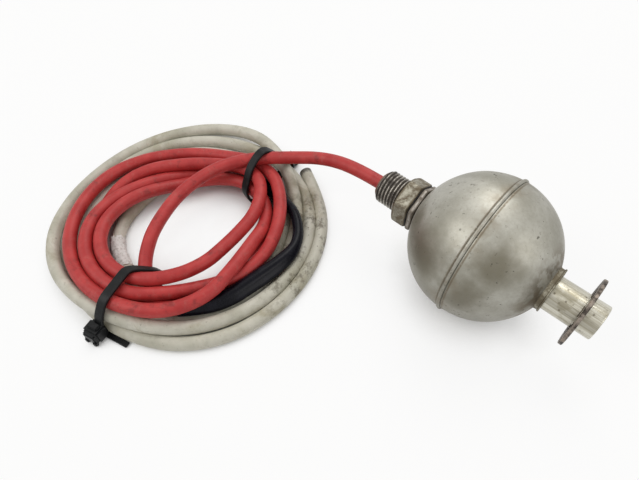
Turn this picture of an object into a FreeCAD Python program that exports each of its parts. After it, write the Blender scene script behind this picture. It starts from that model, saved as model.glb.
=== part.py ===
"""Ball float level switch with its tied coil of cable.

The switch lies on its ball with the stem level along X, the thread towards -X and
the free end of the stem towards +X.  Millimetres, +Z up, floor at Z = 0.
"""
import math
import os

import FreeCAD
import Part

V = FreeCAD.Vector

# ---------------------------------------------------------------- driving sizes
# stem and threaded fitting
STEM_DIA = 12.7
STEM_WALL = 1.2
STEM_PLUG_LENGTH = 2.0
STEM_SOCKET_DEPTH = 1.3
STEM_TAIL = 5.5
THREAD_DIA = 13.157
THREAD_ENGAGED_DIA = 12.301
THREAD_EXPOSED = 9.5
THREAD_END_CHAMFER = 0.8
THREAD_TO_NUT_GAP = 0.3
NIPPLE_BORE_DIA = 9.0
HEX_ACROSS_FLATS = 17.0
HEX_CHAMFER = 0.9
HEX_TURN_DEG = 28.0
FLANGE_THICK = 1.9
GASKET_THICK = 0.6
GASKET_DIA = 17.6
NUT_THICK = 6.0

# float
BALL_DIA = 52.0
SHELL_THICK = 0.6
SEAM_BEAD_RADIUS = 0.75
SEAM_BEAD_PROUD = 0.7
BORE_TUBE_DIA = 16.0
BORE_TUBE_WALL = 0.5
COLLAR_PROUD = 1.95
COLLAR_LIP = 0.35
COLLAR_LIP_WIDTH = 0.6
MAGNET_DIA = 25.0
MAGNET_LENGTH = 8.0
RETAINER_DIA = 23.0
RETAINER_THICK = 0.6

# float travel and running clearances
FLOAT_TRAVEL = 10.0
FLOAT_REST_GAP = 0.3
FLOAT_STOP_GAP = 0.3
BORE_SAG_GAP = 0.25

# retaining clip
CLIP_DIA = 25.4
CLIP_THICK = 1.3
CLIP_RIM_WIDTH = 3.2
CLIP_GROOVE_DEPTH = 0.6
CLIP_GROOVE_SIDE_GAP = 0.05
CLIP_PRONG_ROOT = 0.5
CLIP_PRONG_SPARE = 0.3
CLIP_OPENING = 10.0
CLIP_PRONG_WIDTH = 4.2
CLIP_TURN_DEG = 217.0

# reed switch and wiring inside the stem
REED_CENTRE_FROM_BALL = 5.0
REED_GLASS_DIA = 2.4
REED_GLASS_LENGTH = 14.0
REED_GLASS_WALL = 0.35
REED_SEAL_LENGTH = 2.0
REED_GLASS_END_ROUND = 0.4
BLADE_WIDTH = 1.1
BLADE_THICK = 0.25
BLADE_OVERLAP = 1.2
BLADE_GAP = 0.15
BLADE_LEAD = 4.0
CARRIER_WIDTH = 3.4
CARRIER_THICK = 0.8
CARRIER_PAST_TAILS = 4.0
CARRIER_TO_CRIMP_GAP = 0.2
CORE_DIA = 1.2
CORE_OFFSET = 1.95
CRIMP_DIA = 2.1
CRIMP_LENGTH = 4.0
CRIMP_GRIP = 2.0
RESIN_DOME = 1.4
RESIN_DOME_EDGE_DIA = 7.0
RESIN_DOME_LAP = 0.6

# cable, coil, splice sleeve and ties
CABLE_DIA = 5.3
CABLE_IN_NIPPLE = 5.0
COIL_FROM_NIPPLE_X = -57.6
COIL_CENTRE_Y = -52.0
COIL_CABLE_SPLIT_RADIUS = 45.5
COIL_FLOOR_GAP = 1.4
COIL_CORNER_ROUND = 1.2
SLEEVE_WIDTH = 6.6
SLEEVE_HEIGHT = 5.0
SLEEVE_ROUND = 2.2
TIE_WIDTH = 3.6
TIE_THICK = 1.2
TIE_TO_CABLE_GAP = 0.1
TIE_OVER_LEAD_GAP = 0.5
TIE_HEAD_WIDTH = 6.6
TIE_HEAD_DEPTH = 5.0
TIE_HEAD_HEIGHT = 6.4
TIE_HEAD_ROUND = 0.5
TIE_HEAD_FLOOR_GAP = 0.2
TIE_TAIL_LENGTH = 3.0
TIE_TAIL_BEHIND_STRAP = 0.6
TIE_BENDS_ROUND_LEAD = 8
LOWER_TIE_DEG = -77.0
UPPER_TIE_DEG = 83.0

# outline of the bundled turns: radius from the coil's centre, height above the lowest turn
COIL_SECTION = [
    (27.6, 0.0), (55.6, 0.0), (57.2, 1.8), (57.2, 4.6), (54.0, 7.0),
    (44.0, 9.6), (34.0, 11.4), (27.4, 8.2), (26.0, 3.2),
]

# splice sleeve through the turns: angle round the coil, radius, height of its centre
SLEEVE_POINTS = [
    (-42.0, 45.0, 6.4), (-22.0, 42.8, 7.6), (0.0, 44.4, 8.8),
    (19.0, 48.0, 8.8), (38.0, 45.6, 7.8), (56.0, 39.0, 6.4),
]

# lead from the nipple over the coil and across its middle to the lower tie:
# X from the nipple end, Y, Z from the floor
LEAD_POINTS = [
    (CABLE_IN_NIPPLE, 0.0, 25.8),
    (-11.2, 0.0, 25.6),
    (-28.2, -1.2, 21.8),
    (-43.5, -9.0, 17.4),
    (-56.0, -18.8, 15.8),
    (-65.0, -33.0, 15.0),
    (-67.0, -50.0, 14.0),
    (-61.5, -66.5, 12.4),
    (-56.8, -79.6, 8.4),
    (-49.5, -88.0, 6.0),
]

# spare length of cutting tools past the surface they cut
CUT_SPARE = 1.0

# ---------------------------------------------------------------- derived sizes
ball_r = BALL_DIA / 2.0
bore_tube_r = BORE_TUBE_DIA / 2.0
stem_r = STEM_DIA / 2.0
stem_bore_r = stem_r - STEM_WALL
thread_r = THREAD_DIA / 2.0
thread_engaged_r = THREAD_ENGAGED_DIA / 2.0
clip_groove_r = stem_r - CLIP_GROOVE_DEPTH
cable_r = CABLE_DIA / 2.0
float_sag = bore_tube_r - BORE_TUBE_WALL - stem_r - BORE_SAG_GAP
pole_to_equator = math.sqrt(ball_r ** 2 - bore_tube_r ** 2)

ball_z = ball_r + SEAM_BEAD_PROUD
axis_z = ball_z - float_sag

# stations along the stem, built up from the thread end
fitting_length = THREAD_EXPOSED + NUT_THICK + GASKET_THICK + FLANGE_THICK
nipple_to_ball = fitting_length + FLOAT_REST_GAP + pole_to_equator
ball_to_rim = pole_to_equator + COLLAR_PROUD
ball_to_clip = ball_to_rim + FLOAT_TRAVEL + FLOAT_STOP_GAP
ball_to_tip = ball_to_clip + CLIP_THICK + STEM_TAIL
overall_length = RESIN_DOME + nipple_to_ball + ball_to_tip

x_resin_tip = -overall_length / 2.0
x_nipple = x_resin_tip + RESIN_DOME
x_nut = x_nipple + THREAD_EXPOSED
x_thread_end = x_nut - THREAD_TO_NUT_GAP
x_gasket = x_nut + NUT_THICK
x_flange = x_gasket + GASKET_THICK
x_flange_end = x_flange + FLANGE_THICK
x_socket = x_flange_end - STEM_SOCKET_DEPTH
x_ball = x_nipple + nipple_to_ball
x_rim = x_ball + ball_to_rim
x_clip = x_ball + ball_to_clip
x_tip = x_ball + ball_to_tip
x_plug = x_tip - STEM_PLUG_LENGTH
x_cable_end = x_nipple + CABLE_IN_NIPPLE
x_reed = x_ball + REED_CENTRE_FROM_BALL

coil_centre = V(x_nipple + COIL_FROM_NIPPLE_X, COIL_CENTRE_Y, 0.0)
coil_outer_r = max(radius for radius, _height in COIL_SECTION)


# ---------------------------------------------------------------- small helpers
def rod(radius, x_from, x_to, y=0.0, z=axis_z):
    """Round bar along X."""
    return Part.makeCylinder(radius, x_to - x_from, V(x_from, y, z), V(1, 0, 0))


def tube(outer_radius, inner_radius, x_from, x_to, z=axis_z):
    """Plain ring or tube along X."""
    bore = rod(inner_radius, x_from - CUT_SPARE, x_to + CUT_SPARE, z=z)
    return rod(outer_radius, x_from, x_to, z=z).cut(bore)


def turned(profile, z=axis_z):
    """Solid of revolution about the stem direction from (x, radius) corners."""
    points = [V(x, 0, z + radius) for x, radius in profile]
    face = Part.Face(Part.makePolygon(points + [points[0]]))
    return face.revolve(V(0, 0, z), V(1, 0, 0), 360)


def hex_prism(across_flats, x_from, x_to):
    """Hexagonal bar along X with one flat's normal HEX_TURN_DEG off vertical."""
    corner_radius = across_flats / math.sqrt(3.0)
    points = []
    for corner in range(6):
        angle = math.radians(HEX_TURN_DEG + 30.0 + 60.0 * corner)
        y = -corner_radius * math.sin(angle)
        z = axis_z + corner_radius * math.cos(angle)
        points.append(V(x_from, y, z))
    face = Part.Face(Part.makePolygon(points + [points[0]]))
    return face.extrude(V(x_to - x_from, 0, 0))


def hex_corner_cone(x_from, x_to, chamfer_start, chamfer_end):
    """Turned blank whose conical ends bevel the corners of a hexagon."""
    corner_radius = HEX_ACROSS_FLATS / math.sqrt(3.0) + 0.01
    face_radius = HEX_ACROSS_FLATS / 2.0
    start = face_radius if chamfer_start else corner_radius
    end = face_radius if chamfer_end else corner_radius
    profile = [(x_from, 0.0), (x_from, start)]
    if chamfer_start:
        profile.append((x_from + HEX_CHAMFER, corner_radius))
    if chamfer_end:
        profile.append((x_to - HEX_CHAMFER, corner_radius))
    profile += [(x_to, end), (x_to, 0.0)]
    return turned(profile)


def tangent_arc_route(points):
    """Wire of straight runs joined by tangent arcs, and the arc radii."""
    edges = []
    radii = []
    start = points[0]
    for before, corner, after in zip(points, points[1:], points[2:]):
        way_in = (corner - before).normalize()
        way_out = (after - corner).normalize()
        half_turn = way_in.getAngle(way_out) / 2.0
        shorter = min((corner - before).Length, (after - corner).Length)
        setback = 0.45 * shorter
        arc_start = corner - way_in * setback
        arc_end = corner + way_out * setback
        radius = setback / math.tan(half_turn)
        to_centre = (way_out - way_in).normalize()
        middle = corner + to_centre * (radius / math.cos(half_turn) - radius)
        edges.append(Part.LineSegment(start, arc_start).toShape())
        edges.append(Part.Arc(arc_start, middle, arc_end).toShape())
        radii.append(radius)
        start = arc_end
    edges.append(Part.LineSegment(start, points[-1]).toShape())
    return Part.Wire(edges), radii


def round_cable(wire, radius):
    """Solid of a round section swept along a tangent route."""
    first = wire.OrderedEdges[0]
    tangent = first.tangentAt(first.FirstParameter)
    origin = first.valueAt(first.FirstParameter)
    section = Part.Wire([Part.Circle(origin, tangent, radius).toShape()])
    return wire.makePipeShell([section], True, False)


# ---------------------------------------------------------------- stem and fitting
def make_threaded_fitting():
    """Nipple, integral hexagon and the socket that takes the stem tube.

    The thread is at its outside diameter where it stands free and at its pitch
    diameter, where the flanks bear on each other, under the nut.
    """
    nipple = turned([
        (x_nipple, 0.0),
        (x_nipple, thread_r - THREAD_END_CHAMFER),
        (x_nipple + THREAD_END_CHAMFER, thread_r),
        (x_thread_end, thread_r),
        (x_thread_end, thread_engaged_r),
        (x_flange, thread_engaged_r),
        (x_flange, 0.0),
    ])
    hexagon = hex_prism(HEX_ACROSS_FLATS, x_flange, x_flange_end)
    bevel = hex_corner_cone(x_flange, x_flange_end, False, True)
    body = nipple.fuse(hexagon.common(bevel)).removeSplitter()
    bore = rod(NIPPLE_BORE_DIA / 2.0, x_nipple - CUT_SPARE, x_flange_end)
    socket = rod(stem_r, x_socket, x_flange_end + CUT_SPARE)
    return body.cut(bore.fuse(socket))


def make_mounting_nut():
    """Hexagon nut, beveled on both faces, on the engaged part of the thread."""
    hexagon = hex_prism(HEX_ACROSS_FLATS, x_nut, x_gasket)
    bevel = hex_corner_cone(x_nut, x_gasket, True, True)
    bore = rod(thread_engaged_r, x_nut - CUT_SPARE, x_gasket + CUT_SPARE)
    return hexagon.common(bevel).cut(bore)


def make_sealing_gasket():
    """Thin rubber ring gripped between the nut and the hexagon."""
    return tube(GASKET_DIA / 2.0, thread_r, x_gasket, x_flange)


def make_stem_tube():
    """Guide tube with the groove for the retaining clip."""
    groove_from = x_clip - CLIP_GROOVE_SIDE_GAP
    groove_to = x_clip + CLIP_THICK + CLIP_GROOVE_SIDE_GAP
    body = tube(stem_r, stem_bore_r, x_socket, x_tip)
    groove = tube(stem_r + CUT_SPARE, clip_groove_r, groove_from, groove_to)
    return body.cut(groove)


def make_stem_end_plug():
    """Disc welded into the free end of the stem."""
    return rod(stem_bore_r, x_plug, x_tip)


def make_retaining_clip():
    """Three-pronged E clip standing in the stem groove."""
    x_end = x_clip + CLIP_THICK
    rim_inner = CLIP_DIA / 2.0 - CLIP_RIM_WIDTH
    prong_length = rim_inner + CLIP_PRONG_ROOT - clip_groove_r + CLIP_PRONG_SPARE
    clip = tube(CLIP_DIA / 2.0, rim_inner, x_clip, x_end)
    for turn in (180.0, 90.0, -90.0):
        prong = Part.makeBox(
            CLIP_THICK, CLIP_PRONG_WIDTH, prong_length,
            V(x_clip, -CLIP_PRONG_WIDTH / 2.0, axis_z + clip_groove_r - CLIP_PRONG_SPARE))
        prong.rotate(V(0, 0, axis_z), V(1, 0, 0), turn)
        clip = clip.fuse(prong)
    opening = Part.makeBox(
        CLIP_THICK + 2.0 * CUT_SPARE, CLIP_OPENING, CLIP_DIA,
        V(x_clip - CUT_SPARE, -CLIP_OPENING / 2.0, axis_z))
    seat = rod(clip_groove_r, x_clip - CUT_SPARE, x_end + CUT_SPARE)
    clip = clip.cut(opening).cut(seat).removeSplitter()
    clip.rotate(V(0, 0, axis_z), V(1, 0, 0), CLIP_TURN_DEG)
    return clip


# ---------------------------------------------------------------- float
def half_shell(side):
    """Pressed hemisphere; side is -1 towards the thread, +1 towards the tip."""
    outer = Part.makeSphere(ball_r, V(x_ball, 0, ball_z), V(1, 0, 0))
    inner = Part.makeSphere(ball_r - SHELL_THICK, V(x_ball, 0, ball_z), V(1, 0, 0))
    half_from = x_ball if side > 0 else x_ball - BALL_DIA
    half = rod(BALL_DIA, half_from, half_from + BALL_DIA, z=ball_z)
    pole_hole = rod(bore_tube_r, x_ball - BALL_DIA, x_ball + BALL_DIA, z=ball_z)
    return outer.cut(inner).common(half).cut(pole_hole)


def seam_bead():
    """Rounded rib where the two hemispheres are closed together."""
    ring_radius = ball_r + SEAM_BEAD_PROUD - SEAM_BEAD_RADIUS
    centre = V(x_ball, 0, ball_z)
    return Part.makeTorus(ring_radius, SEAM_BEAD_RADIUS, centre, V(1, 0, 0))


def make_float_shell_thread_side():
    """Hemisphere nearest the fitting, notched where the rib laps over it."""
    return half_shell(-1).cut(seam_bead())


def make_float_shell_tip_side():
    """Hemisphere nearest the free end, carrying the rolled rib."""
    return half_shell(1).fuse(seam_bead()).removeSplitter()


def make_float_bore_tube():
    """Tube through the ball; flush at the fitting, standing proud at the tip."""
    inner = bore_tube_r - BORE_TUBE_WALL
    x_flush = x_ball - pole_to_equator
    x_lip = x_rim - COLLAR_LIP_WIDTH
    return turned([
        (x_flush, inner),
        (x_flush, bore_tube_r),
        (x_lip, bore_tube_r),
        (x_lip + COLLAR_LIP_WIDTH / 2.0, bore_tube_r + COLLAR_LIP),
        (x_rim, bore_tube_r + COLLAR_LIP),
        (x_rim, inner),
    ], z=ball_z)


def make_float_magnet():
    """Ring magnet round the bore tube at the middle of the float."""
    half = MAGNET_LENGTH / 2.0
    return tube(MAGNET_DIA / 2.0, bore_tube_r, x_ball - half, x_ball + half, z=ball_z)


def make_magnet_retainer(side):
    """Stamped washer that holds one end of the magnet on the bore tube."""
    near = x_ball + side * MAGNET_LENGTH / 2.0
    far = near + side * RETAINER_THICK
    x_from, x_to = sorted((near, far))
    return tube(RETAINER_DIA / 2.0, bore_tube_r, x_from, x_to, z=ball_z)


# ---------------------------------------------------------------- reed switch
def reed_blade(side):
    """Flat contact blade with its tail; side is -1 towards the thread."""
    inner_end = x_reed - side * BLADE_OVERLAP / 2.0
    outer_end = x_reed + side * (REED_GLASS_LENGTH / 2.0 + BLADE_LEAD)
    x_from, x_to = sorted((inner_end, outer_end))
    level = axis_z - side * (BLADE_THICK + BLADE_GAP) / 2.0
    corner = V(x_from, -BLADE_WIDTH / 2.0, level - BLADE_THICK / 2.0)
    return Part.makeBox(x_to - x_from, BLADE_WIDTH, BLADE_THICK, corner)


def make_reed_glass():
    """Sealed glass capsule round the two blades."""
    half = REED_GLASS_LENGTH / 2.0
    radius = REED_GLASS_DIA / 2.0
    end_radius = radius - REED_GLASS_END_ROUND
    shoulder = half - REED_GLASS_END_ROUND
    capsule = turned([
        (x_reed - half, 0.0),
        (x_reed - half, end_radius),
        (x_reed - shoulder, radius),
        (x_reed + shoulder, radius),
        (x_reed + half, end_radius),
        (x_reed + half, 0.0),
    ])
    cavity_half = half - REED_SEAL_LENGTH
    cavity = rod(radius - REED_GLASS_WALL, x_reed - cavity_half, x_reed + cavity_half)
    return capsule.cut(cavity).cut(reed_blade(-1)).cut(reed_blade(1))


def make_reed_carrier():
    """Narrow insulating strip under the capsule and its tails."""
    half = REED_GLASS_LENGTH / 2.0 + BLADE_LEAD + CARRIER_PAST_TAILS
    top = axis_z - CRIMP_DIA / 2.0 - CARRIER_TO_CRIMP_GAP
    corner = V(x_reed - half, -CARRIER_WIDTH / 2.0, top - CARRIER_THICK)
    return Part.makeBox(2.0 * half, CARRIER_WIDTH, CARRIER_THICK, corner)


def crimp_span(side):
    """Start and end of the crimp over one blade tail."""
    tail_end = x_reed + side * (REED_GLASS_LENGTH / 2.0 + BLADE_LEAD)
    x_from = tail_end - side * CRIMP_GRIP
    return sorted((x_from, x_from + side * CRIMP_LENGTH))


def make_core_wire_near():
    """Insulated core straight to the tail nearest the thread."""
    tail_end = x_reed - REED_GLASS_LENGTH / 2.0 - BLADE_LEAD
    return rod(CORE_DIA / 2.0, x_cable_end, tail_end)


def make_core_wire_far():
    """Insulated core past the capsule, folded back to the far tail."""
    tail_end = x_reed + REED_GLASS_LENGTH / 2.0 + BLADE_LEAD
    fold_x = tail_end + CRIMP_LENGTH
    bend = CORE_OFFSET / 2.0
    out = V(fold_x, CORE_OFFSET, axis_z)
    back = V(fold_x, 0, axis_z)
    wire = Part.Wire([
        Part.LineSegment(V(x_cable_end, CORE_OFFSET, axis_z), out).toShape(),
        Part.Arc(out, V(fold_x + bend, bend, axis_z), back).toShape(),
        Part.LineSegment(back, V(tail_end, 0, axis_z)).toShape(),
    ])
    return round_cable(wire, CORE_DIA / 2.0)


def make_crimp(side, core):
    """Crimp sleeve joining a blade tail to its core."""
    x_from, x_to = crimp_span(side)
    sleeve = rod(CRIMP_DIA / 2.0, x_from, x_to)
    return sleeve.cut(core).cut(reed_blade(side))


def make_potting_resin(embedded):
    """Resin that fills the stem and nipple and wells up round the cable."""
    nipple_r = NIPPLE_BORE_DIA / 2.0
    body = turned([
        (x_nipple, 0.0),
        (x_nipple, nipple_r),
        (x_socket, nipple_r),
        (x_socket, stem_bore_r),
        (x_plug, stem_bore_r),
        (x_plug, 0.0),
    ])
    dome = turned([
        (x_resin_tip, 0.0),
        (x_resin_tip, RESIN_DOME_EDGE_DIA / 2.0),
        (x_nipple, nipple_r + RESIN_DOME_LAP),
        (x_nipple, 0.0),
    ])
    resin = body.fuse(dome).removeSplitter()
    for piece in embedded:
        resin = resin.cut(piece)
    return resin


# ---------------------------------------------------------------- cable and coil
def upright_wire(corners, angle_deg):
    """Closed outline of (radius, height) corners in a plane through the coil's axis."""
    angle = math.radians(angle_deg)
    outward = V(math.cos(angle), math.sin(angle), 0)
    points = [coil_centre + outward * radius + V(0, 0, height) for radius, height in corners]
    return Part.Wire(Part.makePolygon(points + [points[0]]))


def coil_section():
    """Corners of the bundled turns as (radius, height above the floor)."""
    return [(radius, COIL_FLOOR_GAP + height) for radius, height in COIL_SECTION]


def coil_envelope():
    """Closed ring of the whole bundle, edges eased."""
    section = Part.Face(upright_wire(coil_section(), 0.0))
    ring = section.revolve(coil_centre, V(0, 0, 1), 360)
    return ring.makeFillet(COIL_CORNER_ROUND, ring.Edges)


def make_splice_sleeve():
    """Flattened shrink sleeve over the red to grey splice, kinked among the turns."""
    points = []
    for angle_deg, radius, height in SLEEVE_POINTS:
        angle = math.radians(angle_deg)
        reach = V(radius * math.cos(angle), radius * math.sin(angle), height)
        points.append(coil_centre + reach)
    route, radii = tangent_arc_route(points)
    print("sleeve arc radii", [round(radius, 1) for radius in radii])
    way = (points[1] - points[0]).normalize()
    level = V(0, 0, 1).cross(way).normalize()
    across = level * (SLEEVE_WIDTH / 2.0 - SLEEVE_ROUND)
    upright = way.cross(level) * (SLEEVE_HEIGHT / 2.0 - SLEEVE_ROUND)
    core = [across + upright, across - upright, upright * -1 - across, upright - across]
    corners = [points[0] + corner for corner in core]
    section = Part.Wire(Part.makePolygon(corners + [corners[0]])).makeOffset2D(SLEEVE_ROUND)
    return route.makePipeShell([section], True, False)


def cable_coils(sleeve):
    """Inner red and outer grey rings, cut away round the splice sleeve."""
    envelope = coil_envelope()
    split = Part.makeCylinder(COIL_CABLE_SPLIT_RADIUS, 60.0, coil_centre)
    red = envelope.common(split).cut(sleeve)
    grey = envelope.cut(split).cut(sleeve)
    return envelope, red, grey


def lead_route():
    """Centre line of the lead, with its arc radii reported."""
    points = [V(x_nipple + dx, y, z) for dx, y, z in LEAD_POINTS]
    points[0].z = axis_z
    wire, radii = tangent_arc_route(points)
    print("lead arc radii", [round(radius, 1) for radius in radii])
    return wire


def make_lead_cable(route, envelope):
    """Red cable from inside the nipple, over the coil and across its middle."""
    cable = round_cable(route, cable_r)
    ideal = math.pi * cable_r ** 2 * route.Length
    print("lead volume / (section x length)", round(cable.Volume / ideal, 4))
    return cable.cut(envelope)


def lead_in_tie_plane(route, angle_deg, along):
    """Corners round the lead where it slants through the width of a tie."""
    reach = coil_outer_r + BALL_DIA
    plane = Part.Face(upright_wire([(0, 0), (reach, 0), (reach, reach), (0, reach)], angle_deg))
    _gap, pairs, _info = route.distToShape(plane)
    place = pairs[0][0]
    edge = min(route.Edges, key=lambda one: one.distToShape(Part.Vertex(place))[0])
    slant = edge.tangentAt(edge.Curve.parameter(place)).getAngle(along)
    slant = min(slant, math.pi - slant)
    lead_r = math.hypot(place.x - coil_centre.x, place.y - coil_centre.y)
    high = (cable_r + TIE_OVER_LEAD_GAP) / math.cos(math.pi / TIE_BENDS_ROUND_LEAD)
    wide = high / math.cos(slant) + TIE_WIDTH / 2.0 * math.tan(slant)
    corners = []
    for step in range(TIE_BENDS_ROUND_LEAD):
        turn = 2.0 * math.pi * (step + 0.5) / TIE_BENDS_ROUND_LEAD
        corners.append((lead_r + wide * math.cos(turn), place.z + high * math.sin(turn)))
    return corners


def taut_loop(corners):
    """Corners of the tightest loop round a set of (radius, height) points."""
    def half(points):
        chain = []
        for point in points:
            while len(chain) > 1:
                (ar, ah), (br, bh) = chain[-2], chain[-1]
                if (br - ar) * (point[1] - ah) - (bh - ah) * (point[0] - ar) > 0:
                    break
                chain.pop()
            chain.append(point)
        return chain[:-1]
    ordered = sorted(corners)
    return half(ordered) + half(ordered[::-1])


def make_cable_tie(angle_deg, route, tail):
    """Strap drawn taut round the bundle, with its head outside the coil.

    A route is the lead's, where the strap goes over the lead as well.
    """
    angle = math.radians(angle_deg)
    along = V(-math.sin(angle), math.cos(angle), 0)
    held = coil_section()
    if route:
        held += lead_in_tie_plane(route, angle_deg, along)
    loop = upright_wire(taut_loop(held), angle_deg)
    inside = Part.Face(loop.makeOffset2D(TIE_TO_CABLE_GAP))
    outside = Part.Face(loop.makeOffset2D(TIE_TO_CABLE_GAP + TIE_THICK))
    strap = outside.cut(inside).Faces[0].extrude(along * TIE_WIDTH)
    strap.translate(along * (-TIE_WIDTH / 2.0))
    head = Part.makeBox(TIE_HEAD_DEPTH, TIE_HEAD_WIDTH, TIE_HEAD_HEIGHT)
    head = head.makeFillet(TIE_HEAD_ROUND, head.Edges)
    head_from = coil_outer_r + TIE_TO_CABLE_GAP
    head.translate(V(head_from, -TIE_HEAD_WIDTH / 2.0, TIE_HEAD_FLOOR_GAP))
    if tail:
        stub = Part.makeBox(
            TIE_THICK, TIE_WIDTH, TIE_TAIL_LENGTH + TIE_HEAD_ROUND,
            V(head_from + TIE_THICK + TIE_TAIL_BEHIND_STRAP, -TIE_WIDTH / 2.0,
              TIE_HEAD_FLOOR_GAP + TIE_HEAD_HEIGHT - TIE_HEAD_ROUND))
        head = head.fuse(stub)
    head.rotate(V(0, 0, 0), V(0, 0, 1), angle_deg)
    head.translate(coil_centre)
    return strap.fuse(head).removeSplitter()


# ---------------------------------------------------------------- build
def main():
    """Build every piece and write one STEP file for each."""
    os.makedirs("parts", exist_ok=True)
    core_near = make_core_wire_near()
    core_far = make_core_wire_far()
    sleeve = make_splice_sleeve()
    envelope, red_coil, grey_coil = cable_coils(sleeve)
    route = lead_route()
    lead = make_lead_cable(route, envelope)
    reed_parts = {
        "reed_glass": make_reed_glass(),
        "reed_blade_thread_side": reed_blade(-1),
        "reed_blade_tip_side": reed_blade(1),
        "reed_carrier": make_reed_carrier(),
        "core_wire_near": core_near,
        "core_wire_far": core_far,
        "crimp_near": make_crimp(-1, core_near),
        "crimp_far": make_crimp(1, core_far),
    }
    capsule_space = rod(
        REED_GLASS_DIA / 2.0 - REED_GLASS_WALL,
        x_reed - REED_GLASS_LENGTH / 2.0 + REED_SEAL_LENGTH,
        x_reed + REED_GLASS_LENGTH / 2.0 - REED_SEAL_LENGTH)
    resin = make_potting_resin(list(reed_parts.values()) + [capsule_space, lead])
    pieces = {
        "threaded_fitting": make_threaded_fitting(),
        "mounting_nut": make_mounting_nut(),
        "sealing_gasket": make_sealing_gasket(),
        "stem_tube": make_stem_tube(),
        "stem_end_plug": make_stem_end_plug(),
        "retaining_clip": make_retaining_clip(),
        "float_shell_thread_side": make_float_shell_thread_side(),
        "float_shell_tip_side": make_float_shell_tip_side(),
        "float_bore_tube": make_float_bore_tube(),
        "float_magnet": make_float_magnet(),
        "magnet_retainer_thread_side": make_magnet_retainer(-1),
        "magnet_retainer_tip_side": make_magnet_retainer(1),
        "potting_resin": resin,
        "lead_cable": lead,
        "red_cable_coil": red_coil,
        "grey_cable_coil": grey_coil,
        "splice_sleeve": sleeve,
        "lower_cable_tie": make_cable_tie(LOWER_TIE_DEG, None, True),
        "upper_cable_tie": make_cable_tie(UPPER_TIE_DEG, route, False),
    }
    pieces.update(reed_parts)
    for name, shape in pieces.items():
        box = shape.BoundBox
        solids = len(shape.Solids)
        print("%-28s solids %d valid %s volume %.1f z %.2f" % (
            name, solids, shape.isValid(), shape.Volume, box.ZMin))
        if solids == 1:
            shape = shape.Solids[0]
        shape.exportStep("parts/" + name + ".step")
    print("float travel", FLOAT_TRAVEL, "ball x", round(x_ball, 3), "axis z", axis_z)
    print("nipple x", round(x_nipple, 3), "nut x", round(x_nut, 3), "tip x", round(x_tip, 3))


main()
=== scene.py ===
"""Looks of a ball float level switch: satin float, threaded nipple, clip, tied coil of cable."""
import logging
import math
from dataclasses import dataclass
from enum import Enum
from typing import Any, Callable, Optional, Sequence

import bmesh
import bpy
import numpy as np
from mathutils import Matrix, Vector


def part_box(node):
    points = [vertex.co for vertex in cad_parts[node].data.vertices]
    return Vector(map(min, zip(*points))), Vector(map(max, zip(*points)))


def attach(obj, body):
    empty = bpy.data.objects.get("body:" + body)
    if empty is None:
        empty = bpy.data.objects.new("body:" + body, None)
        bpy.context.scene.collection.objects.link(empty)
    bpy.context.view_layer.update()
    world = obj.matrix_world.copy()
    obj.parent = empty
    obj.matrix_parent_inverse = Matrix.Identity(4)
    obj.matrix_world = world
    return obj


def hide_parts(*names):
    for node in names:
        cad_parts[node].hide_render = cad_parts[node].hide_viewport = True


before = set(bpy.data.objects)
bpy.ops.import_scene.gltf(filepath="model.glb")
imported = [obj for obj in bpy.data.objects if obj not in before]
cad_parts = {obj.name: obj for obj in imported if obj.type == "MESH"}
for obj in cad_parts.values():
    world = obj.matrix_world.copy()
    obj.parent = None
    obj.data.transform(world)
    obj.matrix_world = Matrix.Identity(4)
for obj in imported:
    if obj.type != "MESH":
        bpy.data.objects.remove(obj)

LOG = logging.getLogger("float_switch")
MM = 0.001
Colour = tuple[float, float, float]
Point = tuple[float, float, float]
Flat = tuple[float, float]
Face = tuple[int, ...]
Ring = Callable[[float], Flat]
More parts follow.
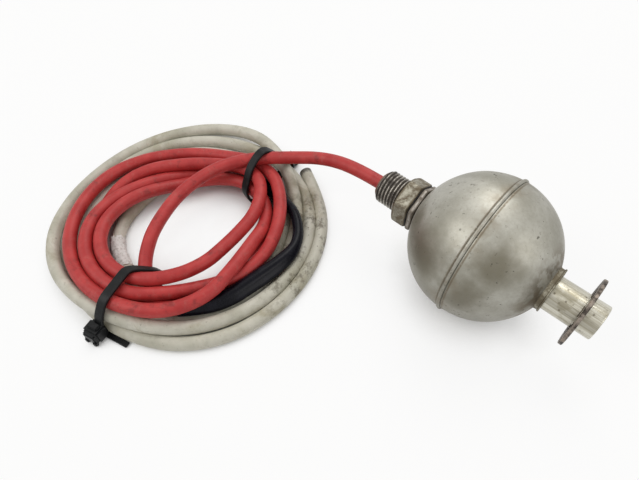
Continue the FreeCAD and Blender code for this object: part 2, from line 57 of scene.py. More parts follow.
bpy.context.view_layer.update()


# ---- node writing
class Term:
    """A number carried by a node socket, so that shader maths reads as Python."""

    def __init__(self, tree: bpy.types.NodeTree, socket: bpy.types.NodeSocket) -> None:
        """Wrap one output socket of a tree."""
        self.tree = tree
        self.socket = socket

    def _math(self, operation: str, *values: Any) -> "Term":
        """Add one Math node whose inputs are terms or numbers.

        Args:
            operation: Blender's name for what the node does.
            values: One input each, in the node's order.

        Returns:
            The node's answer.
        """
        node = self.tree.nodes.new("ShaderNodeMath")
        node.operation = operation
        for socket, value in zip(node.inputs, values):
            if isinstance(value, Term):
                self.tree.links.new(value.socket, socket)
            else:
                socket.default_value = float(value)
        return Term(self.tree, node.outputs[0])

    def __add__(self, other: Any) -> "Term":
        """Sum."""
        return self._math("ADD", self, other)

    __radd__ = __add__

    def __sub__(self, other: Any) -> "Term":
        """Difference."""
        return self._math("SUBTRACT", self, other)

    def __rsub__(self, other: Any) -> "Term":
        """Reflected difference."""
        return self._math("SUBTRACT", other, self)

    def __mul__(self, other: Any) -> "Term":
        """Product."""
        return self._math("MULTIPLY", self, other)

    def __truediv__(self, other: Any) -> "Term":
        """Quotient."""
        return self._math("DIVIDE", self, other)

    def __pow__(self, other: Any) -> "Term":
        """Power."""
        return self._math("POWER", self, other)

    def least(self, other: Any) -> "Term":
        """The smaller of two values."""
        return self._math("MINIMUM", self, other)

    def most(self, other: Any) -> "Term":
        """The larger of two values."""
        return self._math("MAXIMUM", self, other)

    def fraction(self) -> "Term":
        """What is left after the whole number."""
        return self._math("FRACT", self)

    def size(self) -> "Term":
        """Absolute value."""
        return self._math("ABSOLUTE", self)

    def sine(self) -> "Term":
        """Sine of an angle in radians."""
        return self._math("SINE", self)

    def cosine(self) -> "Term":
        """Cosine of an angle in radians."""
        return self._math("COSINE", self)

    def between(self, low: float, high: float) -> "Term":
        """Smooth step from 0 at low to 1 at high.

        Args:
            low: Value that gives 0.
            high: Value that gives 1.

        Returns:
            The eased, clamped term.
        """
        node = self.tree.nodes.new("ShaderNodeMapRange")
        node.interpolation_type = "SMOOTHSTEP"
        self.tree.links.new(self.socket, node.inputs["Value"])
        node.inputs["From Min"].default_value = low
        node.inputs["From Max"].default_value = high
        return Term(self.tree, node.outputs["Result"])


class Paint:
    """One material under construction."""

    def __init__(self, name: str) -> None:
        """Start a material with a Principled shader.

        Args:
            name: The material's name.
        """
        self.material = bpy.data.materials.new(name)
        self.material.use_nodes = True
        self.tree = self.material.node_tree
        self.shader = self.tree.nodes["Principled BSDF"]
        self.place = self.node("ShaderNodeTexCoord").outputs["Object"]
        self.base: Any = None

    def node(self, kind: str, settings: Optional[dict] = None,
             inputs: Optional[dict] = None) -> bpy.types.Node:
        """Add a node.

        Args:
            kind: Blender's type name.
            settings: Properties, set before the inputs.
            inputs: Values or links by socket name or number.

        Returns:
            The new node.
        """
        made = self.tree.nodes.new(kind)
        for key, value in (settings or {}).items():
            setattr(made, key, value)
        for key, value in (inputs or {}).items():
            self.plug(made.inputs[key], value)
        return made

    def plug(self, socket: bpy.types.NodeSocket, value: Any) -> None:
        """Link or set one input socket.

        Args:
            socket: The input.
            value: A term or socket to link, or the value to set.
        """
        if isinstance(value, Term):
            self.tree.links.new(value.socket, socket)
        elif isinstance(value, bpy.types.NodeSocket):
            self.tree.links.new(value, socket)
        elif isinstance(value, tuple) and socket.type == "RGBA" and len(value) == 3:
            socket.default_value = (*value, 1.0)
        else:
            socket.default_value = value

    def stretched(self, scale: Point) -> bpy.types.NodeSocket:
        """Object coordinates scaled along each axis."""
        made = self.node("ShaderNodeMapping", {}, {"Vector": self.place, "Scale": scale})
        return made.outputs["Vector"]

    def axis(self, name: str) -> Term:
        """One of the X, Y or Z object coordinates in metres."""
        made = self.node("ShaderNodeSeparateXYZ", {}, {"Vector": self.place})
        return Term(self.tree, made.outputs[name])

    def noise(self, scale: float, detail: float = 4.0, roughness: float = 0.55,
              vector: Optional[bpy.types.NodeSocket] = None, distortion: float = 0.0) -> Term:
        """Fractal noise from 0 to 1.

        Args:
            scale: Features per metre.
            detail: Octaves.
            roughness: Weight of the finer octaves.
            vector: Coordinates, the object's own if left out.
            distortion: How far the pattern is swirled.

        Returns:
            The noise as a term.
        """
        made = self.node("ShaderNodeTexNoise", {}, {
            "Vector": vector or self.place, "Scale": scale, "Detail": detail,
            "Roughness": roughness, "Distortion": distortion})
        return Term(self.tree, made.outputs["Fac"])

    def specks(self, scale: float, size: float) -> Term:
        """Small round spots.

        Args:
            scale: Spots per metre.
            size: Their radius, as a share of the distance between them.

        Returns:
            1 at a spot's middle and 0 outside it.
        """
        made = self.node("ShaderNodeTexVoronoi", {}, {
            "Vector": self.place, "Scale": scale, "Randomness": 1.0})
        return 1.0 - Term(self.tree, made.outputs["Distance"]).between(size * 0.5, size)

    def near(self, spot: Point, full: float, gone: float, stray: Any = 0.0) -> Term:
        """How near the surface is to a spot, 1 within full metres and 0 past gone.

        Args:
            spot: The spot's place.
            full: Distance up to which the answer is 1.
            gone: Distance past which it is 0.
            stray: Noise added to the distance, for an uneven edge.

        Returns:
            The nearness.
        """
        made = self.node("ShaderNodeVectorMath", {"operation": "DISTANCE"},
                         {0: self.place, 1: spot})
        away = Term(self.tree, made.outputs["Value"]) + stray
        return 1.0 - away.between(full, gone)

    def mix(self, share: Any, first: Any, second: Any) -> bpy.types.NodeSocket:
        """Blend two colours.

        Args:
            share: How much of the second colour is in the answer.
            first: Colour where the share is 0.
            second: Colour where the share is 1.

        Returns:
            The blended colour.
        """
        factor, colour_a, colour_b, colour_out = 0, 6, 7, 2
        made = self.node("ShaderNodeMix", {"data_type": "RGBA"}, {
            factor: share, colour_a: first, colour_b: second})
        return made.outputs[colour_out]

    def start(self, base: Any) -> None:
        """Give the surface its first colour."""
        self.base = base

    def coat(self, share: Any, colour: Any) -> None:
        """Lay a share of another colour over the surface's colour so far."""
        self.base = self.mix(share, self.base, colour)

    def bump(self, height: Term, distance: float, strength: float) -> bpy.types.NodeSocket:
        """Normal of a fine relief.

        Args:
            height: Relief from 0 to 1.
            distance: What 1 stands for, in metres.
            strength: Share of the relief that shows.

        Returns:
            The normal for the shader.
        """
        made = self.node("ShaderNodeBump", {}, {
            "Height": height, "Distance": distance, "Strength": strength})
        return made.outputs["Normal"]

    def finish(self, **sockets: Any) -> bpy.types.Material:
        """Set the shader's sockets, the colour with them.

        Args:
            sockets: Values or links, their names written with underscores.

        Returns:
            The finished material.
        """
        if self.base is not None:
            self.plug(self.shader.inputs["Base Color"], self.base)
        for key, value in sockets.items():
            self.plug(self.shader.inputs[key.replace("_", " ")], value)
        return self.material


# ---- finishes
@dataclass(frozen=True)
class PaintedReflection:
    """One place on the float where a dark reflection is painted, in metres."""

    spot: Point
    full: float
    gone: float
    share: float


@dataclass(frozen=True)
class SatinFloat:
    """Pressed stainless steel, blotchy satin with painted dark reflections, painted shade on the
    underside, and dirt beside the seam.
    """

    seam_x: float
    collar_x: float
    centre_z: float
    name: str = "satin_float_steel"
    pale: Colour = (0.445, 0.435, 0.39)
    mid: Colour = (0.30, 0.29, 0.245)
    # Colour of the painted dark reflections and of the painted shade on the underside.
    dark_tone: Colour = (0.15, 0.135, 0.095)
    tint: Colour = (0.13, 0.10, 0.06)
    heated: Colour = (0.20, 0.165, 0.115)
    grit: Colour = (0.10, 0.095, 0.075)
    speck: Colour = (0.08, 0.075, 0.06)
    rubbed: Colour = (0.19, 0.18, 0.15)
    # Places where dark reflections of the surroundings are painted on the float.
    painted_reflections: tuple[PaintedReflection, ...] = (
        PaintedReflection((0.0105, -0.0165, 0.0440), 0.0015, 0.0105, 0.80),
        PaintedReflection((-0.0115, -0.0215, 0.0350), 0.0020, 0.0130, 0.72),
        PaintedReflection((-0.0200, -0.0120, 0.0350), 0.0010, 0.0095, 0.70),
        PaintedReflection((0.0060, -0.0245, 0.0300), 0.0020, 0.0120, 0.80),
        PaintedReflection((0.0225, -0.0120, 0.0300), 0.0010, 0.0075, 0.75),
        PaintedReflection((0.0030, 0.0150, 0.0480), 0.0005, 0.0060, 0.55),
        PaintedReflection((-0.0100, 0.0190, 0.0420), 0.0015, 0.0100, 0.45),
        PaintedReflection((0.0120, 0.0210, 0.0330), 0.0015, 0.0110, 0.60),
        PaintedReflection((-0.0150, 0.0120, 0.0120), 0.0020, 0.0130, 0.60),
    )

    def build(self) -> bpy.types.Material:
        """Make the finish in layers, the bare steel first.

        Returns:
            The material.
        """
        paint = Paint(self.name)
        broad = paint.noise(34.0, 3.0, 0.5, distortion=0.4)
        cloud = paint.noise(95.0, 5.0, 0.6)
        fine = paint.noise(900.0, 4.0, 0.7)
        shade = broad * 0.62 + cloud * 0.38
        paint.start(paint.mix(shade.between(0.36, 0.62), self.mid, self.pale))
        dark_reflection = self._painted_reflections_and_shade(paint, cloud, fine)
        self._seam(paint, fine)
        spots = self._dirt(paint, cloud)
        paint.coat(fine.between(0.35, 0.75) * 0.22, self.rubbed)
        rough = 0.37 + broad * 0.12 + fine * 0.10 + spots * 0.2 + dark_reflection * 0.10
        grain = paint.noise(2600.0, 3.0, 0.6) * 0.6 + cloud * 0.4
        return paint.finish(Metallic=0.86, Roughness=rough,
                            Normal=paint.bump(grain, 0.00007, 0.6))

    def _painted_reflections_and_shade(self, paint: Paint, cloud: Term, fine: Term) -> Term:
        """Paint dark reflections in patches, and painted shade that darkens the underside.

        Args:
            paint: The material so far.
            cloud: Coarse noise.
            fine: Fine noise.

        Returns:
            The blotches, for the roughness.
        """
        stray = (cloud - 0.5) * 0.010 + (fine - 0.5) * 0.0016
        dark_reflection: Any = 0.0
        # Painted reflections: dark patches at fixed places on the float.
        for painted_spot in self.painted_reflections:
            patch = paint.near(painted_spot.spot, painted_spot.full, painted_spot.gone, stray) * painted_spot.share
            dark_reflection = patch.most(dark_reflection)
        # Painted shade: the float gets darker towards its underside.
        low = 1.0 - paint.axis("Z").between(self.centre_z - 0.020, self.centre_z + 0.010)
        paint.coat(dark_reflection.most(low * 0.72), self.dark_tone)
        return dark_reflection

    def _seam(self, paint: Paint, fine: Term) -> None:
        """Heat marks beside the seam and the dirt line in its corner.

        Args:
            paint: The material so far.
            fine: Fine noise.
        """
        from_seam = (paint.axis("X") - self.seam_x - 0.0003).size()
        marks = paint.noise(150.0, 4.0).between(0.44, 0.66)
        heat = (1.0 - from_seam.between(0.001, 0.0065)) * marks
        paint.coat(heat * 0.55, self.heated)
        corner = (from_seam - 0.00115).size()
        line = (1.0 - corner.between(0.0001, 0.0005)) * fine.between(0.25, 0.5)
        paint.coat(line * 0.75, self.tint)

    def _dirt(self, paint: Paint, cloud: Term) -> Term:
        """Grime round the collar, grit, and small dark specks.

        Args:
            paint: The material so far.
            cloud: Coarse noise.

        Returns:
            The specks, for the roughness.
        """
        to_collar = (paint.axis("X") - self.collar_x).size()
        smear = paint.noise(260.0, 3.0).between(0.38, 0.58)
        paint.coat((1.0 - to_collar.between(0.0008, 0.0065)) * smear * 0.85, self.tint)
        grit = paint.noise(520.0, 5.0, 0.72).between(0.58, 0.70) * cloud.between(0.40, 0.58)
        paint.coat(grit * 0.55, self.grit)
        spots = (paint.noise(780.0, 3.0, 0.5).between(0.66, 0.71)
                 * paint.noise(80.0, 2.0).between(0.44, 0.54))
        paint.coat(spots * 0.70, self.speck)
        return spots


@dataclass(frozen=True)
class DrawnTube:
    """Drawn stainless tube, shiny with faint lengthwise lines and a painted dark reflection band.
    """

    axis_z: float
    radius: float
    name: str = "drawn_tube_steel"
    colour: Colour = (0.62, 0.60, 0.52)
    dark_tone: Colour = (0.34, 0.31, 0.225)
    streaked: Colour = (0.13, 0.115, 0.08)
    stained: Colour = (0.27, 0.24, 0.16)
    speck: Colour = (0.14, 0.12, 0.09)
    # Colour of the painted dark reflection band.
    reflection_band: Colour = (0.17, 0.15, 0.105)
    reflection_band_way: tuple[float, float] = (-0.848, 0.53)

    def build(self) -> bpy.types.Material:
        """Make the finish, with a painted dark reflection band along the side that faces front.

        Returns:
            The material.
        """
        paint = Paint(self.name)
        lines = paint.noise(1.0, 4.0, 0.7, paint.stretched((60.0, 1500.0, 1500.0)))
        stain = paint.noise(170.0, 4.0, 0.6)
        paint.start(paint.mix(lines.between(0.40, 0.62) * 0.65, self.colour, self.dark_tone))
        streak = paint.noise(1.0, 3.0, 0.6, paint.stretched((110.0, 900.0, 900.0)))
        paint.coat(streak.between(0.58, 0.68) * 0.5, self.streaked)
        paint.coat(stain.between(0.50, 0.68) * 0.6, self.stained)
        spots = paint.specks(420.0, 0.22) * stain.between(0.48, 0.58)
        paint.coat(spots * 0.7, self.speck)
        # Painted reflection: a dark band along the side of the tube that faces the camera.
        across, upward = self.reflection_band_way
        height = paint.axis("Z") - self.axis_z
        facing = (paint.axis("Y") * across + height * upward) / self.radius
        paint.coat(facing.between(0.93, 0.99) * (0.55 + lines * 0.45) * 0.62, self.reflection_band)
        rough = 0.20 + lines * 0.10 + stain * 0.10 + spots * 0.3
        return paint.finish(Metallic=0.95, Roughness=rough,
                            Normal=paint.bump(lines * 0.7 + stain * 0.3, 0.00004, 0.6))


@dataclass(frozen=True)
class TurnedSteel:
    """Turned or sawn stainless steel with grime in patches and at its dirty ends, and painted
    shade in a thread's hollows.

    A thread has a hollow and a crest radius; a dirty end is an edge's place along X.
    """

    name: str
    colour: Colour
    # Colour of the grime, and of the painted shade in a thread's hollows.
    grime_and_groove_shade: Colour
    grime_share: float
    roughness: float
    axis_z: float = 0.0
    hollow_r: float = 0.0
    crest_r: float = 0.0
    dirty_ends: tuple[float, ...] = ()
    rubbed: Colour = (0.20, 0.17, 0.13)

    def build(self) -> bpy.types.Material:
        """Make the finish.

        Returns:
            The material.
        """
        paint = Paint(self.name)
        cloud = paint.noise(230.0, 5.0, 0.62, distortion=0.5)
        fine = paint.noise(1500.0, 4.0, 0.65)
        spread = 0.62 - 0.30 * self.grime_share
        grime_and_groove_shade_mask = (cloud * 0.75 + fine * 0.25).between(spread - 0.10, spread + 0.12)
        for end_x in self.dirty_ends:
            away = (paint.axis("X") - end_x).size() + (cloud - 0.5) * 0.0022
            grime_and_groove_shade_mask = grime_and_groove_shade_mask.most(1.0 - away.between(0.0001, 0.0011))
        # Painted shade: a thread gets darker from its crests down into its hollows.
        if self.crest_r:
            up = paint.axis("Z") - self.axis_z
            side = paint.axis("Y")
            radius = (up * up + side * side) ** 0.5 + (fine - 0.5) * 0.0002
            grime_and_groove_shade_mask = grime_and_groove_shade_mask.most(1.0 - radius.between(self.hollow_r, self.crest_r))
        paint.start(paint.mix(grime_and_groove_shade_mask * 0.92, self.colour, self.grime_and_groove_shade))
        paint.coat(fine.between(0.55, 0.8) * 0.35, self.rubbed)
        rough = self.roughness + grime_and_groove_shade_mask * 0.22 + fine * 0.12
        return paint.finish(Metallic=0.9 - grime_and_groove_shade_mask * 0.45, Roughness=rough,
                            Normal=paint.bump(cloud * 0.4 + fine * 0.6, 0.00008, 0.6))


@dataclass(frozen=True)
class RustySpring:
    """Dark spring steel, rusty, rubbed bright in small patches."""

    name: str = "rusty_clip_steel"
    dark: Colour = (0.045, 0.036, 0.03)
    worn: Colour = (0.30, 0.255, 0.215)
    bright: Colour = (0.34, 0.31, 0.27)
    rust: Colour = (0.22, 0.12, 0.07)

    def build(self) -> bpy.types.Material:
        """Make the finish.

        Returns:
            The material.
        """
        paint = Paint(self.name)
        cloud = paint.noise(260.0, 4.0, 0.6)
        fine = paint.noise(2400.0, 4.0, 0.7)
        paint.start(paint.mix(cloud.between(0.40, 0.60), self.dark, self.worn))
        paint.coat(fine.between(0.55, 0.72) * 0.6, self.bright)
        rust = cloud.between(0.55, 0.70)
        paint.coat(rust * 0.35, self.rust)
        return paint.finish(Metallic=0.75 - rust * 0.4, Roughness=0.42 + cloud * 0.25,
                            Normal=paint.bump(cloud * 0.5 + fine * 0.5, 0.00012, 0.7))


class Jacket(Enum):
    """Kinds of cable jacket."""

    RED_SILICONE = "red_silicone_jacket"
    GREY_PVC = "grey_pvc_jacket"


@dataclass(frozen=True)
class CableJacket:
    """Dull cable jacket with handling dirt, its cut end dark where it has one."""

    kind: Jacket
    cut_end: Point = (0.0, 0.0, 0.0)
    red: tuple[Colour, Colour] = ((0.40, 0.026, 0.026), (0.49, 0.043, 0.041))
    red_dust: Colour = (0.40, 0.15, 0.13)
    red_dark: Colour = (0.16, 0.018, 0.016)
    red_dirt: Colour = (0.12, 0.045, 0.035)
    grey: tuple[Colour, Colour] = ((0.45, 0.435, 0.355), (0.60, 0.58, 0.50))
    grease: Colour = (0.32, 0.285, 0.185)
    soot: Colour = (0.13, 0.11, 0.08)
    brown: Colour = (0.10, 0.07, 0.035)
    cut_dark: Colour = (0.035, 0.03, 0.025)
    handled_spot: Point = (-0.052, -0.028, 0.003)

    def build(self) -> bpy.types.Material:
        """Return the material for the chosen kind of jacket."""
        return self._red() if self.kind is Jacket.RED_SILICONE else self._grey()

    def _red(self) -> bpy.types.Material:
        """Make soft red silicone with dust and dirt rubbed in.

        Returns:
            The material.
        """
        paint = Paint(self.kind.value)
        cloud = paint.noise(150.0, 4.0, 0.55)
        fine = paint.noise(1400.0, 4.0, 0.7)
        paint.start(paint.mix(cloud.between(0.35, 0.66), *self.red))
        dust = paint.noise(330.0, 5.0, 0.7).between(0.52, 0.72)
        paint.coat(dust * 0.32, self.red_dust)
        paint.coat(paint.noise(170.0, 4.0, 0.7).between(0.56, 0.70) * 0.55, self.red_dark)
        dirt = paint.noise(620.0, 5.0, 0.75).between(0.62, 0.70) * cloud.between(0.40, 0.60)
        paint.coat(dirt * 0.6, self.red_dirt)
        return paint.finish(Roughness=0.42 + fine * 0.16 + dust * 0.14, Specular_IOR_Level=0.40,
                            Normal=paint.bump(fine * 0.5 + cloud * 0.5, 0.00007, 0.5))

    def _grey(self) -> bpy.types.Material:
        """Make grey PVC with brown spots, greasy smears and a dark cut end.

        Returns:
            The material.
        """
        paint = Paint(self.kind.value)
        cloud = paint.noise(75.0, 4.0, 0.55)
        fine = paint.noise(1300.0, 4.0, 0.7)
        paint.start(paint.mix(cloud.between(0.34, 0.66), *self.grey))
        smear = paint.noise(60.0, 5.0, 0.66, distortion=0.6).between(0.50, 0.66)
        paint.coat(smear * 0.60, self.grease)
        handled = paint.near(self.handled_spot, 0.016, 0.040, (cloud - 0.5) * 0.03)
        soot = paint.noise(240.0, 6.0, 0.76).between(0.50, 0.64) * (handled * 0.82 + 0.18)
        paint.coat(soot * 0.80, self.soot)
        spots = paint.noise(560.0, 3.0, 0.55).between(0.66, 0.71) * (handled * 0.6 + 0.4)
        paint.coat(spots * 0.9, self.brown)
        cut = paint.near(self.cut_end, 0.0026, 0.0040, (fine - 0.5) * 0.002)
        paint.coat(cut * 0.9, self.cut_dark)
        return paint.finish(Roughness=0.44 + fine * 0.14 + smear * 0.12, Specular_IOR_Level=0.45,
                            Normal=paint.bump(fine * 0.4 + cloud * 0.6, 0.00008, 0.5))


@dataclass(frozen=True)
class DullPolymer:
    """Moulded, shrunk or cast polymer with a light mottle of the scale's size."""

    name: str
    colour: Colour
    worn: Colour
    roughness: float
    scale: float = 300.0
    gloss: float = 0.5

    def build(self) -> bpy.types.Material:
        """Make the finish.

        Returns:
            The material.
        """
        paint = Paint(self.name)
        cloud = paint.noise(self.scale, 4.0, 0.6)
        fine = paint.noise(self.scale * 7.0, 3.0, 0.7)
        mottle = (cloud * 0.7 + fine * 0.3).between(0.44, 0.70)
        paint.start(paint.mix(mottle, self.colour, self.worn))
        return paint.finish(Roughness=self.roughness + fine * 0.16,
                            Specular_IOR_Level=self.gloss,
                            Normal=paint.bump(cloud * 0.5 + fine * 0.5, 0.00006, 0.5))


@dataclass(frozen=True)
class PlainMetal:
    """Quiet finish for the pieces sealed inside."""

    name: str
    colour: Colour
    metallic: float
    roughness: float
    alpha: float = 1.0

    def build(self) -> bpy.types.Material:
        """Make the finish.

        Returns:
            The material.
        """
        paint = Paint(self.name)
        cloud = paint.noise(500.0, 3.0, 0.6)
        darker: Colour = tuple(channel * 0.7 for channel in self.colour)
        paint.start(paint.mix(cloud.between(0.4, 0.7), self.colour, darker))
        return paint.finish(Metallic=self.metallic, Roughness=self.roughness + cloud * 0.12,
                            Alpha=self.alpha)


# ---- mesh writing
def mesh_piece(name: str, verts: Sequence[Sequence[float]], faces: Sequence[Face],
               material: bpy.types.Material, sharp_deg: float = 38.0) -> bpy.types.Object:
    """Make a smooth-shaded mesh object at the origin.

    Args:
        name: The piece's name.
        verts: Places in metres.
        faces: Corner numbers of each face.
        material: Its finish.
        sharp_deg: Edges that turn more than this stay crisp.

    Returns:
        The new object.
    """
    mesh = bpy.data.meshes.new(name)
    mesh.from_pydata([tuple(v) for v in verts], [], faces)
    work = bmesh.new()
    work.from_mesh(mesh)
    bmesh.ops.remove_doubles(work, verts=work.verts, dist=1e-7)
    bmesh.ops.recalc_face_normals(work, faces=work.faces)
    shade(work, sharp_deg)
    work.to_mesh(mesh)
    work.free()
    mesh.materials.append(material)
    return placed(name, mesh)


def placed(name: str, data: bpy.types.ID) -> bpy.types.Object:
    """Put a mesh or curve into the scene.

    Args:
        name: The object's name.
        data: What it shows.

    Returns:
        The new object, at the origin.
    """
    made = bpy.data.objects.new(name, data)
    bpy.context.scene.collection.objects.link(made)
    return made


def evaluated_mesh(carrier: bpy.types.Object) -> bpy.types.Mesh:
    """Evaluate an object's curve or modifier into a mesh of its own.

    Args:
        carrier: The object.

    Returns:
        The new mesh.
    """
    graph = bpy.context.evaluated_depsgraph_get()
    return bpy.data.meshes.new_from_object(carrier.evaluated_get(graph), depsgraph=graph)


def shade(work: bmesh.types.BMesh, sharp_deg: float) -> None:
    """Shade faces smooth and keep steep edges crisp.

    Args:
        work: The mesh.
        sharp_deg: Edges that turn more than this stay crisp.
    """
    for face in work.faces:
        face.smooth = True
    limit = math.radians(sharp_deg)
    for edge in work.edges:
        if len(edge.link_faces) == 2 and edge.calc_face_angle(0.0) > limit:
            edge.smooth = False


def skin(rows: int, around: int, closed: bool) -> list[Face]:
    """Quads between rows of vertices that each go once round.

    Args:
        rows: How many rows there are.
        around: Vertices in each.
        closed: Whether the last row joins the first.

    Returns:
        The faces.
    """
    faces: list[Face] = []
    for row in range(rows if closed else rows - 1):
        after = (row + 1) % rows
        for step in range(around):
            turn = (step + 1) % around
            faces.append((row * around + step, row * around + turn,
                          after * around + turn, after * around + step))
    return faces


def end_caps(rows: int, around: int) -> list[Face]:
    """Faces that close the first and the last row."""
    return [tuple(range(around)), tuple((rows - 1) * around + step for step in range(around))]


def walk_frames(line: Sequence[Vector]) -> list[tuple[Vector, Vector, Vector, Vector]]:
    """Directions for a section that travels along a line.

    Args:
        line: Places along it.

    Returns:
        At each place: the place, the way ahead, sideways and upwards.
    """
    frames = []
    for index, place in enumerate(line):
        way = (line[min(index + 1, len(line) - 1)] - line[max(index - 1, 0)]).normalized()
        side = way.cross(Vector((0.0, 0.0, 1.0))).normalized()
        frames.append((place, way, side, side.cross(way).normalized()))
    return frames


def arc(cx: float, cr: float, radius: float, start_deg: float, end_deg: float,
        steps: int) -> list[Flat]:
    """Points of a circular arc in the (x, radius) half plane.

    Args:
        cx: The centre's x.
        cr: The centre's distance from the turning axis.
        radius: The arc's radius.
        start_deg: Where it starts, 0 along x and 90 outwards.
        end_deg: Where it ends.
        steps: How many pieces it is made of.

    Returns:
        One point more than steps.
    """
    points = []
    for step in range(steps + 1):
        angle = math.radians(start_deg + (end_deg - start_deg) * step / steps)
        points.append((cx + radius * math.cos(angle), cr + radius * math.sin(angle)))
    return points


def ring_grid(rings: Sequence[Ring], centre_z: float,
              segments: int) -> tuple[list[Point], list[Face]]:
    """Closed skin round the X direction through rings that may change with the angle.

    Args:
        rings: Each gives (x, radius) for an angle in radians.
        centre_z: Height of the turning axis.
        segments: Steps round the axis.

    Returns:
        Vertices and faces.
    """
    verts: list[Point] = []
    for ring in rings:
        for step in range(segments):
            angle = 2.0 * math.pi * step / segments
            x, radius = ring(angle)
            verts.append((x, -radius * math.sin(angle), centre_z + radius * math.cos(angle)))
    return verts, skin(len(rings), segments, True)


def round_ring(x: float, radius: float) -> Ring:
    """Ring that is the same at every angle."""
    return lambda _angle: (x, radius)


def lathe(name: str, profile: Sequence[Flat], centre_z: float, material: bpy.types.Material,
          segments: int, sharp_deg: float = 38.0) -> bpy.types.Object:
    """Turned piece about the stem's direction.

    Args:
        name: The piece's name.
        profile: Closed outline of (x, radius) points.
        centre_z: Height of the turning axis.
        material: The piece's finish.
        segments: Steps round the axis.
        sharp_deg: Edges that turn more than this stay crisp.

    Returns:
        The piece.
    """
    verts, faces = ring_grid([round_ring(*point) for point in profile], centre_z, segments)
    return mesh_piece(name, verts, faces, material, sharp_deg)


@dataclass(frozen=True)
class Hexagon:
    """Hexagon bar with slightly rounded corners, which may be bevelled at its faces."""

    across_flats: float
    turn_deg: float
    corner_ease: float = 0.00035
    rim_ease: float = 0.00018
    bore_ease: float = 0.0005
    face_share: float = 0.985
    bevel_slope: float = 0.5
    segments: int = 192
    sharp_deg: float = 24.0

    def radius(self, angle: float) -> float:
        """Distance from the axis to the rounded hexagon.

        Args:
            angle: Angle from straight up, in radians.

        Returns:
            The distance in metres.
        """
        local = (math.degrees(angle) - self.turn_deg + 30.0) % 60.0 - 30.0
        sharp = self.across_flats / 2.0 / math.cos(math.radians(local))
        limit = self.across_flats / math.sqrt(3.0) - self.corner_ease
        ease = self.corner_ease * 0.6
        gap = (limit - sharp) / ease
        return limit - ease * math.log1p(math.exp(gap)) if gap < 30 else sharp

    def edge_rings(self, face_x: float, way: float, bevel: bool) -> list[Ring]:
        """Rings from a flat face over the eased edge to the side.

        Args:
            face_x: Where the face is.
            way: 1 where the bar goes on towards +X, -1 where it goes towards -X.
            bevel: Whether the corners are turned down.

        Returns:
            The face's round limit, the edge's inner ring and its outer ring.
        """
        face_r = self.across_flats / 2.0 * self.face_share

        def edge(angle: float, back: float, inward: float) -> Flat:
            """One ring of the edge, set back from the bevel and inward from the side."""
            depth = (self.radius(angle) - face_r) * self.bevel_slope if bevel else 0.0
            return face_x + way * max(depth + back, 0.0), self.radius(angle) - inward

        return [
            round_ring(face_x, face_r),
            lambda angle: edge(angle, -self.rim_ease * 0.5, self.rim_ease),
            lambda angle: edge(angle, self.rim_ease, 0.0),
        ]

    def outer_rings(self, x_from: float, x_to: float, bevels: tuple[bool, bool]) -> list[Ring]:
        """Rings over the outside from one face to the other.

        Args:
            x_from: The face towards -X.
            x_to: The face towards +X.
            bevels: Whether each of them is bevelled.

        Returns:
            Six rings.
        """
        return (self.edge_rings(x_from, 1.0, bevels[0])
                + self.edge_rings(x_to, -1.0, bevels[1])[::-1])


# ---- switch
@dataclass(frozen=True)
class SwitchPlaces:
    """Stations of the switch along X, its axes' heights and its main radii."""

    axis_z: float
    ball_z: float
    ball_x: float
    nipple_x: float
    nut_x: float
    gasket_x: float
    flange_x: float
    flange_end_x: float
    rim_x: float
    flush_x: float
    clip_x: float
    clip_end_x: float
    tip_x: float
    stem_r: float
    ball_r: float = 0.026
    thread_r: float = 0.0065785
    collar_r: float = 0.008

    @classmethod
    def read(cls) -> "SwitchPlaces":
        """Read the boxes of the solids.

        Returns:
            The stations.
        """
        stem, nut, gasket, fitting, tube, clip = (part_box(node) for node in (
            "stem_tube", "mounting_nut", "sealing_gasket", "threaded_fitting",
            "float_bore_tube", "retaining_clip"))
        pole = math.sqrt(cls.ball_r ** 2 - cls.collar_r ** 2)
        return cls(
            axis_z=(stem[0][2] + stem[1][2]) / 2.0, stem_r=(stem[1][2] - stem[0][2]) / 2.0,
            tip_x=stem[1][0], nut_x=nut[0][0], gasket_x=gasket[0][0], flange_x=gasket[1][0],
            nipple_x=fitting[0][0], flange_end_x=fitting[1][0],
            flush_x=tube[0][0], rim_x=tube[1][0], ball_x=tube[0][0] + pole,
            ball_z=(tube[0][2] + tube[1][2]) / 2.0, clip_x=clip[0][0], clip_end_x=clip[1][0])


